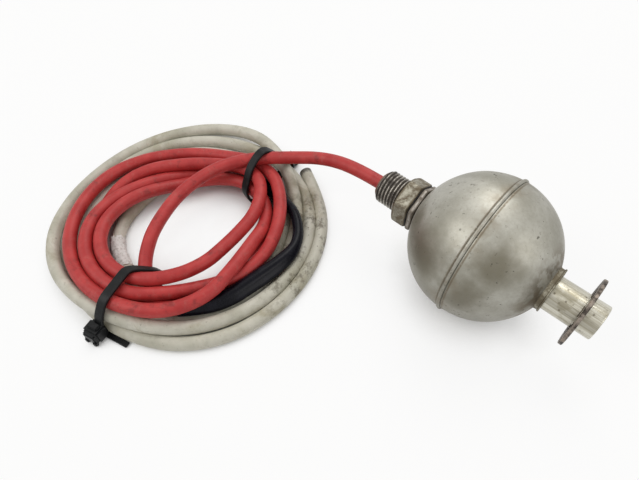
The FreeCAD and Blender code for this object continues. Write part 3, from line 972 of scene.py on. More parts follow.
@dataclass
class ThreadedFitting:
    """Nipple with its cut thread, and the integral hexagon behind it."""

    places: SwitchPlaces
    pitch: float = 0.001337
    depth: float = 0.00085
    bore_r: float = 0.0045
    across_flats: float = 0.017
    turn_deg: float = 28.0
    end_bevel: float = 0.0008
    past_nut: float = 0.0008
    core_gap: float = 0.0001
    sleeve_gap: float = 0.00012
    socket_depth: float = 0.0012
    edge_ease: float = 0.0002
    steps_along: int = 121
    steps_round: int = 145

    def build(self) -> list[bpy.types.Object]:
        """Make the fitting and its thread.

        Returns:
            The pieces that ride on the switch.
        """
        p = self.places
        steel = TurnedSteel("fitting_steel", (0.44, 0.415, 0.38), (0.13, 0.105, 0.08), 0.50, 0.30,
                            dirty_ends=(p.flange_x, p.flange_end_x))
        cut = TurnedSteel("thread_steel", (0.46, 0.43, 0.38), (0.055, 0.045, 0.038), 0.42, 0.32,
                          p.axis_z, p.thread_r - self.depth * 0.80,
                          p.thread_r - self.depth * 0.08)
        body = self._hexagon(steel.build())
        thread = self._thread(cut.build())
        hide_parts("threaded_fitting")
        for piece in (body, thread):
            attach(piece, "switch")
        return [body, thread]

    def _hexagon(self, metal: bpy.types.Material) -> bpy.types.Object:
        """Make the hexagon and the plain core under the thread, down to the bore.

        Args:
            metal: The finish.

        Returns:
            The piece.
        """
        p = self.places
        ease = self.edge_ease
        core_r = p.thread_r - self.depth - self.core_gap
        start = p.nipple_x + self.core_gap
        shoulder = p.flange_end_x - self.socket_depth
        shape = Hexagon(self.across_flats, self.turn_deg)
        inside = [
            (p.flange_end_x, p.stem_r + ease), (p.flange_end_x - ease, p.stem_r),
            (shoulder, p.stem_r), (shoulder, self.bore_r), (start, self.bore_r),
            (start, core_r - ease), (start + ease, core_r),
        ]
        rings = [
            round_ring(p.flange_x, core_r),
            *shape.outer_rings(p.flange_x, p.flange_end_x, (False, True)),
            *(round_ring(*point) for point in inside),
        ]
        verts, faces = ring_grid(rings, p.axis_z, shape.segments)
        return mesh_piece("fitting_hexagon", verts, faces, metal, shape.sharp_deg)

    def _thread(self, metal: bpy.types.Material) -> bpy.types.Object:
        """Make the helical ridges, a closed sleeve over the core.

        Args:
            metal: The finish.

        Returns:
            The piece.
        """
        p = self.places
        sizes = {
            "Pitch": self.pitch, "Depth": self.depth, "Radius": p.thread_r,
            "Start": p.nipple_x, "Length": p.nut_x + self.past_nut - p.nipple_x,
            "Axis Height": p.axis_z, "End Bevel": self.end_bevel,
        }
        tree = self._thread_tree(list(sizes))
        plain = plain_from_tree("nipple_thread", tree, {**sizes, "Metal": metal})
        close_sleeve(plain, p.thread_r - self.depth - self.sleeve_gap, p.axis_z)
        return plain

    def _thread_tree(self, sizes: Sequence[str]) -> bpy.types.NodeTree:
        """Write the node tree that turns a flat grid into the thread.

        Args:
            sizes: Names of the tree's inputs that are lengths.

        Returns:
            The tree.
        """
        tree = bpy.data.node_groups.new("cut_thread", "GeometryNodeTree")
        face = tree.interface
        face.new_socket("Geometry", in_out="OUTPUT", socket_type="NodeSocketGeometry")
        for name in sizes:
            face.new_socket(name, in_out="INPUT", socket_type="NodeSocketFloat")
        face.new_socket("Metal", in_out="INPUT", socket_type="NodeSocketMaterial")

        def step(kind: str, inputs: dict[Any, Any]) -> bpy.types.Node:
            """Add one node.

            Args:
                kind: Blender's type name.
                inputs: Values or links by socket name or number.

            Returns:
                The node.
            """
            made = tree.nodes.new(kind)
            for key, value in inputs.items():
                if isinstance(value, bpy.types.NodeSocket):
                    tree.links.new(value, made.inputs[key])
                else:
                    made.inputs[key].default_value = value
            return made

        entry = step("NodeGroupInput", {})
        value = {name: Term(tree, entry.outputs[name]) for name in sizes}
        grid = step("GeometryNodeMeshGrid", {
            "Size X": 1.0, "Size Y": 1.0,
            "Vertices X": self.steps_along, "Vertices Y": self.steps_round})
        place = step("GeometryNodeInputPosition", {})
        split = step("ShaderNodeSeparateXYZ", {0: place.outputs[0]})
        along = (Term(tree, split.outputs["X"]) + 0.5) * value["Length"]
        turn = Term(tree, split.outputs["Y"]) + 0.5
        whole_turns = 20.0
        phase = (along / value["Pitch"] - turn + whole_turns).fraction()
        ridge = ((phase - 0.5).size() * 2.0).between(0.10, 0.86)
        radius = value["Radius"] - (1.0 - ridge) * value["Depth"]
        radius = radius.least(value["Radius"] - value["End Bevel"] + along)
        angle = turn * (2.0 * math.pi)
        joined = step("ShaderNodeCombineXYZ", {
            "X": (along + value["Start"]).socket,
            "Y": (radius * angle.sine() * -1.0).socket,
            "Z": (radius * angle.cosine() + value["Axis Height"]).socket})
        moved = step("GeometryNodeSetPosition", {
            "Geometry": grid.outputs["Mesh"], "Position": joined.outputs[0]})
        merged = step("GeometryNodeMergeByDistance", {
            "Geometry": moved.outputs[0], "Distance": 1e-6})
        real = step("GeometryNodeRealizeInstances", {0: merged.outputs[0]})
        dressed = step("GeometryNodeSetMaterial", {
            "Geometry": real.outputs[0], "Material": entry.outputs["Metal"]})
        step("NodeGroupOutput", {0: dressed.outputs[0]})
        return tree


def plain_from_tree(name: str, tree: bpy.types.NodeTree,
                    inputs: dict[str, Any]) -> bpy.types.Object:
    """Evaluate a geometry node tree once and keep the result as a plain mesh.

    Args:
        name: Name of the new piece.
        tree: The tree to evaluate.
        inputs: Values for the tree's named inputs.

    Returns:
        A mesh object with no modifier.
    """
    carrier = placed(name + "_carrier", bpy.data.meshes.new(name + "_carrier"))
    modifier = carrier.modifiers.new("maker", "NODES")
    modifier.node_group = tree
    for item in tree.interface.items_tree:
        if item.item_type == "SOCKET" and item.in_out == "INPUT":
            modifier[item.identifier] = inputs[item.name]
    mesh = evaluated_mesh(carrier)
    carrier.modifiers.remove(modifier)
    bpy.data.objects.remove(carrier)
    mesh.name = name
    return placed(name, mesh)


def close_sleeve(piece: bpy.types.Object, inner_radius: float, axis_z: float) -> None:
    """Give an open tube of skin an inner wall and end rings, so that it is closed.

    Args:
        piece: The open tube, along X.
        inner_radius: Radius of the new inner wall.
        axis_z: Height of the tube's axis.
    """
    work = bmesh.new()
    work.from_mesh(piece.data)
    bmesh.ops.remove_doubles(work, verts=work.verts, dist=2e-6)
    rims = [edge for edge in work.edges if edge.is_boundary]
    made = bmesh.ops.extrude_edge_only(work, edges=rims)
    for vert in made["geom"]:
        if isinstance(vert, bmesh.types.BMVert):
            across = Vector((0.0, vert.co.y, vert.co.z - axis_z)).normalized() * inner_radius
            vert.co = Vector((vert.co.x, across.y, across.z + axis_z))
    inner = [edge for edge in work.edges if edge.is_boundary]
    bmesh.ops.bridge_loops(work, edges=inner)
    bmesh.ops.recalc_face_normals(work, faces=work.faces)
    shade(work, 60.0)
    work.to_mesh(piece.data)
    work.free()


@dataclass
class NutAndGasket:
    """Thin stained nut and the black ring behind it."""

    places: SwitchPlaces
    across_flats: float = 0.017
    turn_deg: float = 28.0
    gasket_r: float = 0.0088
    thread_bite: float = 0.0004

    def build(self) -> list[bpy.types.Object]:
        """Make the nut and the gasket.

        Returns:
            Both pieces.
        """
        p = self.places
        stained = TurnedSteel("nut_steel", (0.33, 0.315, 0.26), (0.115, 0.085, 0.048), 0.48, 0.38,
                              dirty_ends=(p.nut_x, p.gasket_x))
        shape = Hexagon(self.across_flats, self.turn_deg)
        bore = p.thread_r - self.thread_bite
        ease = shape.bore_ease
        rings = [
            round_ring(p.nut_x + ease, bore), round_ring(p.nut_x, bore + ease),
            *shape.outer_rings(p.nut_x, p.gasket_x, (True, True)),
            round_ring(p.gasket_x, bore + ease), round_ring(p.gasket_x - ease, bore),
        ]
        verts, faces = ring_grid(rings, p.axis_z, shape.segments)
        nut = mesh_piece("hexagon_nut", verts, faces, stained.build(), shape.sharp_deg)
        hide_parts("mounting_nut")
        rubber = DullPolymer("gasket_rubber", (0.006, 0.006, 0.006), (0.03, 0.026, 0.02), 0.55,
                             300.0, 0.25)
        mid = (p.gasket_x + p.flange_x) / 2.0
        half = (p.flange_x - p.gasket_x) / 2.0
        edge = arc(mid, self.gasket_r - half, half, 180.0, 0.0, 8)
        profile = [(p.gasket_x, p.thread_r), *edge, (p.flange_x, p.thread_r)]
        gasket = lathe("gasket_ring", profile, p.axis_z, rubber.build(), 96)
        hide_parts("sealing_gasket")
        for piece in (nut, gasket):
            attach(piece, "switch")
        return [nut, gasket]


@dataclass
class Stem:
    """Guide tube with its clip groove and rounded end; its closing disc is the end plug, dressed
    with the sealed pieces.
    """

    places: SwitchPlaces
    groove_r: float = 0.00575
    bore_r: float = 0.00515
    tip_ease: float = 0.0005
    groove_ease: float = 0.0002
    groove_play: float = 0.00005

    def build(self) -> list[bpy.types.Object]:
        """Make the tube.

        Returns:
            The tube as one piece.
        """
        p = self.places
        ease = self.tip_ease
        end = arc(p.tip_x - ease, p.stem_r - ease, ease, 90.0, 0.0, 6)
        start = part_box("stem_tube")[0][0]
        groove = []
        for edge_x, way in ((p.clip_x, -1.0), (p.clip_end_x, 1.0)):
            wall_x = edge_x + way * self.groove_play
            corner = [(wall_x + way * self.groove_ease, p.stem_r),
                      (wall_x, p.stem_r - self.groove_ease), (wall_x, self.groove_r)]
            groove += corner if way < 0 else corner[::-1]
        profile = [(start, self.bore_r), (start, p.stem_r), *groove, *end, (p.tip_x, self.bore_r)]
        steel = DrawnTube(p.axis_z, p.stem_r)
        tube = lathe("guide_tube", profile, p.axis_z, steel.build(), 192)
        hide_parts("stem_tube")
        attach(tube, "switch")
        return [tube]


@dataclass
class Clip:
    """Three-pronged spring clip in the stem groove."""

    places: SwitchPlaces
    outer_r: float = 0.0127
    inner_r: float = 0.0095
    groove_r: float = 0.00576
    prong: float = 0.0042
    opening: float = 0.010
    turn_deg: float = 217.0
    edge_ease: float = 0.00018

    def build(self) -> list[bpy.types.Object]:
        """Make the clip from its outline.

        Returns:
            The clip as one piece.
        """
        p = self.places
        outline = self._outline()
        normals = self._normals(outline)
        half = (p.clip_end_x - p.clip_x) / 2.0
        middle = (p.clip_end_x + p.clip_x) / 2.0
        ease = self.edge_ease
        layers = [(-half, -ease), (-half + ease, 0.0), (half - ease, 0.0), (half, -ease)]
        turn = math.radians(self.turn_deg)
        verts: list[Point] = []
        for dx, inset in layers:
            for (a, b), (na, nb) in zip(outline, normals):
                u, v = a + na * inset, b + nb * inset
                verts.append((middle + dx, u * math.cos(turn) - v * math.sin(turn),
                              p.axis_z + u * math.sin(turn) + v * math.cos(turn)))
        count = len(outline)
        faces = skin(len(layers), count, False) + end_caps(len(layers), count)
        clip = mesh_piece("e_clip", verts, faces, RustySpring().build(), 30.0)
        work = bmesh.new()
        work.from_mesh(clip.data)
        bmesh.ops.triangulate(work, faces=[f for f in work.faces if len(f.verts) > 4])
        work.to_mesh(clip.data)
        work.free()
        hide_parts("retaining_clip")
        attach(clip, "switch")
        return [clip]

    def _outline(self) -> list[Flat]:
        """Lay out the clip flat, its opening upwards.

        Returns:
            The closed outline.
        """
        half_open = math.asin(self.opening / 2.0 / self.outer_r)
        inner_open = math.asin(self.opening / 2.0 / self.inner_r)
        half_prong = math.asin(self.prong / 2.0 / self.inner_r)
        tip_half = math.asin(self.prong / 2.0 / self.groove_r)
        points = self._sweep(self.outer_r, half_open, 2.0 * math.pi - half_open, 96)
        angle = 2.0 * math.pi - inner_open
        for centre in (1.5 * math.pi, math.pi, 0.5 * math.pi):
            points += self._sweep(self.inner_r, angle, centre + half_prong, 10)
            points += self._sweep(self.groove_r, centre + tip_half, centre - tip_half, 6)
            angle = centre - half_prong
        return points + self._sweep(self.inner_r, angle, inner_open, 10)

    @staticmethod
    def _sweep(radius: float, start: float, end: float, steps: int) -> list[Flat]:
        """Points along an arc measured from straight up."""
        angles = [start + (end - start) * step / steps for step in range(steps + 1)]
        return [(radius * math.sin(a), radius * math.cos(a)) for a in angles]

    @staticmethod
    def _normals(outline: Sequence[Flat]) -> list[Flat]:
        """Find which way is out at each corner of a closed outline.

        Args:
            outline: The corners.

        Returns:
            One unit vector for each.
        """
        area = sum(a[0] * b[1] - b[0] * a[1] for a, b in zip(outline, [*outline[1:], outline[0]]))
        sign = 1.0 if area > 0 else -1.0
        normals = []
        for index in range(len(outline)):
            before, after = outline[index - 1], outline[(index + 1) % len(outline)]
            dx, dy = after[0] - before[0], after[1] - before[1]
            length = math.hypot(dx, dy) or 1.0
            normals.append((sign * dy / length, -sign * dx / length))
        return normals


@dataclass
class BallFloat:
    """Two pressed hemispheres, the rolled seam and the bore tube's collar."""

    places: SwitchPlaces
    wall: float = 0.0006
    bead_r: float = 0.00068
    bead_proud: float = 0.0007
    bore_wall: float = 0.0005
    seam_gap_deg: float = 1.9
    press_mark: float = 0.000045
    lip_r: float = 0.00032
    solder_r: float = 0.0004
    collar_length: float = 0.00195

    def build(self) -> list[bpy.types.Object]:
        """Make the float's visible pieces.

        Returns:
            Both shells and the bore tube.
        """
        p = self.places
        satin = SatinFloat(p.ball_x, p.rim_x - 0.0018, p.ball_z).build()
        upper = self._shell("float_shell_upper", -1.0, satin, "float_shell_thread_side")
        lower = self._shell("float_shell_lower", 1.0, satin, "float_shell_tip_side")
        collar = self._bore_tube()
        for piece in (upper, lower, collar):
            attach(piece, "float")
        return [upper, lower, collar]

    def _shell(self, name: str, side: float, satin: bpy.types.Material,
               node: str) -> bpy.types.Object:
        """Make one hemisphere; the one towards the tip carries the rolled rib.

        Args:
            name: The piece's name.
            side: 1 towards the tip, -1 towards the thread.
            satin: Its finish.
            node: The solid it stands for.

        Returns:
            The piece.
        """
        p = self.places
        pole = math.degrees(math.acos(p.collar_r / p.ball_r))
        outer = arc(0.0, 0.0, p.ball_r, 90.0 - self.seam_gap_deg, 90.0 - pole, 72)
        inner = arc(0.0, 0.0, p.ball_r - self.wall, 90.0 - pole, 90.0, 40)
        profile = [(x, max(r, p.collar_r)) for x, r in outer + inner]
        if side > 0:
            centre_r = p.ball_r + self.bead_proud - self.bead_r
            rib = arc(0.0, centre_r, self.bead_r, 200.0, -20.0, 18)
            profile = [(0.0, p.ball_r - self.wall), *rib, *profile]
        else:
            profile = [(0.0002, p.ball_r - self.wall), (0.00035, p.ball_r - 0.0002), *profile]
        turned = [(p.ball_x + side * x, r) for x, r in profile]
        piece = lathe(name, turned, p.ball_z, satin, 256, 50.0)
        self._press_marks(piece)
        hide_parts(node)
        return piece

    def _press_marks(self, piece: bpy.types.Object) -> None:
        """Make the pressed surface wander by a few hundredths of a millimetre.

        Args:
            piece: The hemisphere.
        """
        p = self.places
        centre = Vector((p.ball_x, 0.0, p.ball_z))
        for vert in piece.data.vertices:
            out = vert.co - centre
            if out.length < p.ball_r - self.wall * 0.5:
                continue
            way = out.normalized()
            sway = (math.sin(way.y * 5.1 + way.z * 3.7 + 0.6) * math.sin(way.x * 6.3 + way.y * 2.9)
                    + 0.5 * math.sin(way.z * 11.0 + way.x * 7.0) * math.sin(way.y * 9.0 + 1.0))
            vert.co += way * sway * self.press_mark

    def _bore_tube(self) -> bpy.types.Object:
        """Make the thin tube through the ball, with a small rolled lip at the tip side.

        Returns:
            The piece.
        """
        p = self.places
        inner = p.collar_r - self.bore_wall
        lip = arc(p.rim_x - self.lip_r, p.collar_r + 0.00008, self.lip_r, 150.0, -10.0, 10)
        root = arc(p.rim_x - self.collar_length + self.solder_r, p.collar_r + self.solder_r,
                   self.solder_r, 250.0, 270.0, 4)
        profile = [
            (p.flush_x, inner), (p.flush_x, p.collar_r), (p.rim_x - 0.0022, p.collar_r + 0.00035),
            *root, (p.rim_x - 0.0007, p.collar_r), *lip, (p.rim_x, inner + 0.00025),
            (p.rim_x - 0.0002, inner),
        ]
        steel = TurnedSteel("collar_steel", (0.36, 0.34, 0.27), (0.12, 0.095, 0.055), 0.62, 0.32)
        tube = lathe("bore_tube_collar", profile, p.ball_z, steel.build(), 160)
        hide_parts("float_bore_tube")
        return tube


# ---- cable
@dataclass
class CoilLayout:
    """Route of the red cable, the splice and the grey cable through the coil.

    The lanes give radius and height in millimetres at the stations, nine to a turn.
    """

    places: SwitchPlaces
    cable_d: float = 0.0053
    centre: tuple[float, float] = (-0.1003, -0.0520)
    stations: tuple[float, ...] = (-77.0, -40.0, 0.0, 40.0, 78.0, 110.0, 150.0, 190.0, 235.0)
    step_deg: float = 20.0
    red: tuple[tuple[float, float], ...] = (
        (35.0, 5.0), (33.2, 2.8), (33.0, 2.7), (32.2, 2.7), (30.0, 2.8),
        (26.5, 4.6), (24.0, 4.6), (28.4, 6.6), (41.2, 8.6),
        (43.6, 9.8), (35.6, 7.2), (38.2, 8.2), (37.6, 10.2), (37.6, 11.2),
        (32.5, 9.6), (34.8, 8.0), (43.0, 7.6), (47.0, 8.2),
        (47.4, 10.0), (45.2, 10.8), (32.6, 11.4), (32.0, 8.8), (29.5, 7.4),
        (22.6, 6.6), (18.6, 6.2), (22.0, 8.6), (34.8, 9.4),
        (39.3, 11.4), (31.6, 11.6), (24.8, 11.4), (28.0, 11.8), (32.2, 12.2),
        (26.5, 11.0), (25.2, 10.0), (34.6, 7.6), (39.8, 2.8),
        (39.5, 3.8), (41.7, 7.2))
    red_start_deg: float = -34.0
    red_end_deg: float = -46.0 + 1440.0
    splice: tuple[Point, ...] = (
        (-40.0, 41.8, 7.2), (-30.0, 42.4, 7.2), (-20.0, 42.7, 7.4), (-10.0, 42.4, 7.9),
        (0.0, 43.3, 8.4), (9.0, 44.8, 8.6), (18.0, 46.5, 8.6), (26.0, 46.4, 8.5),
        (34.0, 44.8, 8.3), (42.0, 42.8, 7.8), (49.0, 40.4, 6.7), (56.0, 38.0, 5.8),
        (63.0, 35.8, 5.2), (71.0, 35.2, 4.6))
    grey: tuple[tuple[float, float], ...] = (
        (37.7, 4.0), (41.0, 3.0), (44.0, 2.8), (44.9, 2.8), (35.4, 4.2),
        (31.0, 2.8), (24.4, 2.7), (23.8, 2.7), (29.4, 2.7),
        (31.4, 2.8), (39.0, 2.7), (38.2, 2.7), (38.4, 2.7), (38.4, 3.2),
        (39.6, 2.8), (40.4, 2.7), (41.8, 2.7), (44.8, 2.7),
        (45.0, 2.8), (45.0, 2.8), (43.4, 2.8), (43.8, 3.0), (46.0, 7.6),
        (55.2, 3.4), (52.6, 2.8), (51.4, 2.7), (55.0, 4.0),
        (50.2, 7.2), (49.6, 4.4), (49.8, 3.6), (50.0, 3.2), (49.6, 2.8),
        (48.2, 2.7), (47.6, 2.7), (47.0, 2.7), (50.1, 2.7),
        (52.2, 2.7), (55.2, 2.7), (53.4, 2.7), (53.6, 2.7), (53.6, 2.8))
    grey_start_deg: float = 84.0
    grey_end_deg: float = 73.0 + 1440.0

    def lead(self) -> list[Point]:
        """Free cable from inside the nipple, over the coil to the lower tie.

        Returns:
            Control points in metres.
        """
        x = self.places.nipple_x
        return [
            (x + 0.0050, 0.0, self.places.axis_z),
            (x - 0.0112, 0.0, 0.0256),
            (x - 0.0282, -0.0012, 0.0218),
            (x - 0.0435, -0.0090, 0.0174),
            (x - 0.0560, -0.0188, 0.0158),
            (x - 0.0630, -0.0320, 0.0155),
            (x - 0.0644, -0.0500, 0.0146),
            (x - 0.0590, -0.0672, 0.0134),
            (x - 0.0536, -0.0760, 0.0113),
            (x - 0.0484, -0.0814, 0.0092),
            (x - 0.0420, -0.0836, 0.0074),
            (x - 0.0364, -0.0822, 0.0058),
            (x - 0.0326, -0.0782, 0.0044),
        ]

    def turns(self, lanes: Sequence[tuple[float, float]], start_deg: float,
              end_deg: float) -> list[Point]:
        """Points along the turns, eased between the stations.

        Args:
            lanes: Radius and height at one station after another.
            start_deg: Where the turns start, counted from the first lane.
            end_deg: Where they end.

        Returns:
            Places in metres, one every step round the coil.
        """
        stops = len(self.stations)
        angles = [self.stations[i % stops] + 360.0 * (i // stops) for i in range(len(lanes))]
        radii = [radius for radius, _height in lanes]
        heights = [height for _radius, height in lanes]
        count = max(2, round((end_deg - start_deg) / self.step_deg))
        points: list[Point] = []
        for index in range(count + 1):
            angle = start_deg + (end_deg - start_deg) * index / count
            radius = eased(angle, angles, radii)
            height = eased(angle, angles, heights)
            points.append(self.polar(angle, radius, height))
        return points

    def polar(self, angle_deg: float, radius_mm: float, height_mm: float) -> Point:
        """Place about the coil's centre.

        Args:
            angle_deg: Angle from +X.
            radius_mm: Distance from the centre.
            height_mm: Height over the floor.

        Returns:
            The place in metres.
        """
        angle = math.radians(angle_deg)
        return (self.centre[0] + radius_mm * MM * math.cos(angle),
                self.centre[1] + radius_mm * MM * math.sin(angle), height_mm * MM)

    def routes(self) -> dict[str, list[Point]]:
        """Lay the cable so that no two strands share a place.

        Returns:
            Control points of the red cable, the splice and the grey cable.
        """
        fixed = self.lead()
        red_turns = self.turns(self.red, self.red_start_deg, self.red_end_deg)
        splice = [self.polar(*station) for station in self.splice]
        grey = self.turns(self.grey, self.grey_start_deg, self.grey_end_deg)
        settled = settle(fixed + red_turns + splice + grey, len(fixed), self.cable_d)
        places = [tuple(float(part) for part in point) for point in settled]
        red_count = len(fixed) + len(red_turns)
        grey_from = red_count + len(splice)
        return {
            "red": places[:red_count + 1],
            "splice": places[red_count - 1:grey_from + 1],
            "grey": places[grey_from - 1:],
        }


def eased(at: float, places: Sequence[float], values: Sequence[float]) -> float:
    """Smooth value between stations, on a Catmull-Rom curve through them.

    Args:
        at: Where the value is wanted.
        places: The stations, rising.
        values: The value at each.

    Returns:
        The value there.
    """
    index = int(np.searchsorted(places, at)) - 1
    index = min(max(index, 0), len(places) - 2)
    share = (at - places[index]) / (places[index + 1] - places[index])
    before = values[max(index - 1, 0)]
    start, end = values[index], values[index + 1]
    after = values[min(index + 2, len(values) - 1)]
    return 0.5 * (2 * start + (end - before) * share
                  + (2 * before - 5 * start + 4 * end - after) * share ** 2
                  + (3 * start - before - 3 * end + after) * share ** 3)


def settle(points: Sequence[Point], held: int, diameter: float) -> np.ndarray:
    """Push strands of one long cord apart until they lie beside and on each other.

    Args:
        points: Control points along the cord.
        held: How many points at the start keep their place.
        diameter: Cable diameter in metres.

    Returns:
        The settled points.
    """
    fine, rounds, skip = 4, 160, 3
    touch, rest = diameter * 1.01, diameter * 0.51
    push_share, move_share, ease_share, home_share = 0.5, 0.6, 0.10, 0.01
    home = np.array(points, dtype=float)
    count = len(home)
    place = home.copy()
    shares = np.arange(fine) / fine
    owner = np.repeat(np.arange(count - 1), fine)
    weight = np.tile(shares, count - 1)
    apart_along = np.abs(owner[:, None] - owner[None, :]) > skip
    for _round in range(rounds):
        dense = (place[:-1, None, :] * (1 - shares)[None, :, None]
                 + place[1:, None, :] * shares[None, :, None]).reshape(-1, 3)
        apart = dense[:, None, :] - dense[None, :, :]
        gap = np.linalg.norm(apart, axis=2) + 1e-9
        near = (gap < touch) & apart_along
        push = np.where(near, (touch - gap) / gap, 0.0)[:, :, None] * apart
        hits = np.maximum(near.sum(axis=1), 1)
        shift = push.sum(axis=1) / hits[:, None] * push_share
        move = np.zeros_like(place)
        np.add.at(move, owner, shift * (1 - weight)[:, None])
        np.add.at(move, owner + 1, shift * weight[:, None])
        place += move * move_share
        smooth = place.copy()
        smooth[1:-1] += ease_share * (place[:-2] + place[2:] - 2 * place[1:-1]
                                      - (home[:-2] + home[2:] - 2 * home[1:-1]))
        place = smooth + home_share * (home - smooth)
        place[:, 2] = np.maximum(place[:, 2], rest)
        place[:held] = home[:held]
    return place


def nurbs_curve(name: str, points: Sequence[Point], resolution: int) -> bpy.types.Curve:
    """Open NURBS spline that starts and ends at its end points.

    Args:
        name: The curve's name.
        points: Control points in metres.
        resolution: Steps between two control points.

    Returns:
        The curve.
    """
    curve = bpy.data.curves.new(name, "CURVE")
    curve.dimensions = "3D"
    spline = curve.splines.new("NURBS")
    spline.points.add(len(points) - 1)
    for target, place in zip(spline.points, points):
        target.co = (*place, 1.0)
    spline.order_u = 3
    spline.use_endpoint_u = True
    spline.resolution_u = resolution
    return curve


def cord_curve(name: str, points: Sequence[Point], diameter: float,
               material: bpy.types.Material) -> bpy.types.Object:
    """Round cord as one open NURBS spline.

    Args:
        name: The piece's name.
        points: Control points in metres.
        diameter: Cord diameter in metres.
        material: Its jacket.

    Returns:
        The curve object.
    """
    curve = nurbs_curve(name, points, 8)
    curve.bevel_depth = diameter / 2.0
    curve.bevel_resolution = 7
    curve.use_fill_caps = True
    curve.materials.append(material)
    return placed(name, curve)


def walked(points: Sequence[Point]) -> list[Vector]:
    """Read places along the NURBS curve that control points give.

    Args:
        points: The control points.

    Returns:
        Ten places for each.
    """
    carrier = placed("walk", nurbs_curve("walk", points, 10))
    mesh = evaluated_mesh(carrier)
    line = [vert.co.copy() for vert in mesh.vertices]
    bpy.data.objects.remove(carrier)
    bpy.data.meshes.remove(mesh)
    return line


def run_length(line: Sequence[Vector]) -> float:
    """Length of a walked line."""
    return sum((b - a).length for a, b in zip(line, line[1:]))


@dataclass
class CableSet:
    """Red lead and coil, splice sleeve, grey extension and the two ties."""

    layout: CoilLayout

    def build(self) -> list[bpy.types.Object]:
        """Returns:
            Every cable piece.
        """
        routes = self.layout.routes()
        diameter = self.layout.cable_d
        red = cord_curve("red_cable", routes["red"], diameter,
                         CableJacket(Jacket.RED_SILICONE).build())
        grey = cord_curve("grey_cable", routes["grey"], diameter,
                          CableJacket(Jacket.GREY_PVC, tuple(routes["grey"][-1])).build())
        sleeve = SpliceSleeve(routes["splice"]).build()
        strands = [walked(routes[key]) for key in ("red", "splice", "grey")]
        lower = LowerTie("lower_tie", -75.8, self.layout, strands, "lower_cable_tie").build()
        upper = UpperTie("upper_tie", 81.0, self.layout, strands, "upper_cable_tie").build()
        wrap = FrayedWrap(strands[2], self.layout).build()
        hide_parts("lead_cable", "red_cable_coil")
        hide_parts("grey_cable_coil")
        pieces = [red, grey, sleeve, lower, upper, wrap]
        for piece in pieces:
            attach(piece, "switch")
        return pieces


@dataclass
class SpliceSleeve:
    """Black shrink sleeve, flattened over the splice and kinked near its end.

    The lists hold the half width and half height, as shares of the round end's radius, and
    the depth of the groove, at the stops along the sleeve.
    """

    route: Sequence[Point]
    round_half: float = 0.00295
    around: int = 28
    lean_deg: float = -24.0
    groove_deg: float = 62.0
    stops: tuple[float, ...] = (0.0, 0.04, 0.14, 0.34, 0.46, 0.53, 0.60, 0.80, 0.96, 1.0)
    wide: tuple[float, ...] = (0.93, 1.0, 1.12, 1.18, 1.02, 0.78, 0.72, 0.74, 1.0, 0.93)
    tall: tuple[float, ...] = (0.93, 1.0, 0.92, 0.82, 0.78, 0.66, 0.68, 0.76, 1.0, 0.93)
    groove: tuple[float, ...] = (0.0, 0.0, 0.16, 0.28, 0.20, 0.06, 0.0, 0.0, 0.0, 0.0)

    def build(self) -> bpy.types.Object:
        """Make the sleeve as a swept, changing section.

        Returns:
            The sleeve.
        """
        line = walked(self.route)
        total = run_length(line)
        verts: list[Vector] = []
        reached = 0.0
        for index, (place, _way, side, up) in enumerate(walk_frames(line)):
            if index:
                reached += (place - line[index - 1]).length
            verts += [place + side * a + up * b for a, b in self._section(reached / total)]
        faces = skin(len(line), self.around, False) + end_caps(len(line), self.around)
        shrink = DullPolymer("shrink_sleeve", (0.003, 0.003, 0.006), (0.009, 0.009, 0.015), 0.20,
                             260.0, 0.12)
        sleeve = mesh_piece("shrink_sleeve", verts, faces, shrink.build(), 55.0)
        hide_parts("splice_sleeve")
        return sleeve

    def _section(self, share: float) -> list[Flat]:
        """Outline of the sleeve at one place, leaning, with a groove in its top.

        Args:
            share: How far along the sleeve, from 0 to 1.

        Returns:
            Places across and above the middle.
        """
        wide, tall, groove = (float(np.interp(share, self.stops, values))
                              for values in (self.wide, self.tall, self.groove))
        wide, tall = wide * self.round_half, tall * self.round_half
        lean = math.radians(self.lean_deg)
        outline = []
        for step in range(self.around):
            angle = 2.0 * math.pi * step / self.around
            sunk = max(0.0, math.cos(angle - math.radians(self.groove_deg))) ** 6
            across = wide * (1.0 - groove * sunk) * math.cos(angle)
            above = tall * (1.0 - groove * sunk) * math.sin(angle)
            outline.append((across * math.cos(lean) - above * math.sin(lean),
                            across * math.sin(lean) + above * math.cos(lean)))
        return outline


def clamped(value: float) -> float:
    """Keep a number between 0 and 1."""
    return min(max(value, 0.0), 1.0)


def smooth(value: float) -> float:
    """Ease a number between 0 and 1, level at both ends."""
    return value * value * (3.0 - 2.0 * value)


def lower_chain(points: Sequence[Flat]) -> list[Flat]:
    """One half of a convex hull.

    Args:
        points: Sorted places.

    Returns:
        The corners of the half, without its last one.
    """
    chain: list[Flat] = []
    for point in points:
        while len(chain) > 1:
            (ax, ay), (bx, by) = chain[-2], chain[-1]
            if (bx - ax) * (point[1] - ay) - (by - ay) * (point[0] - ax) > 0:
                break
            chain.pop()
        chain.append(point)
    return chain[:-1]


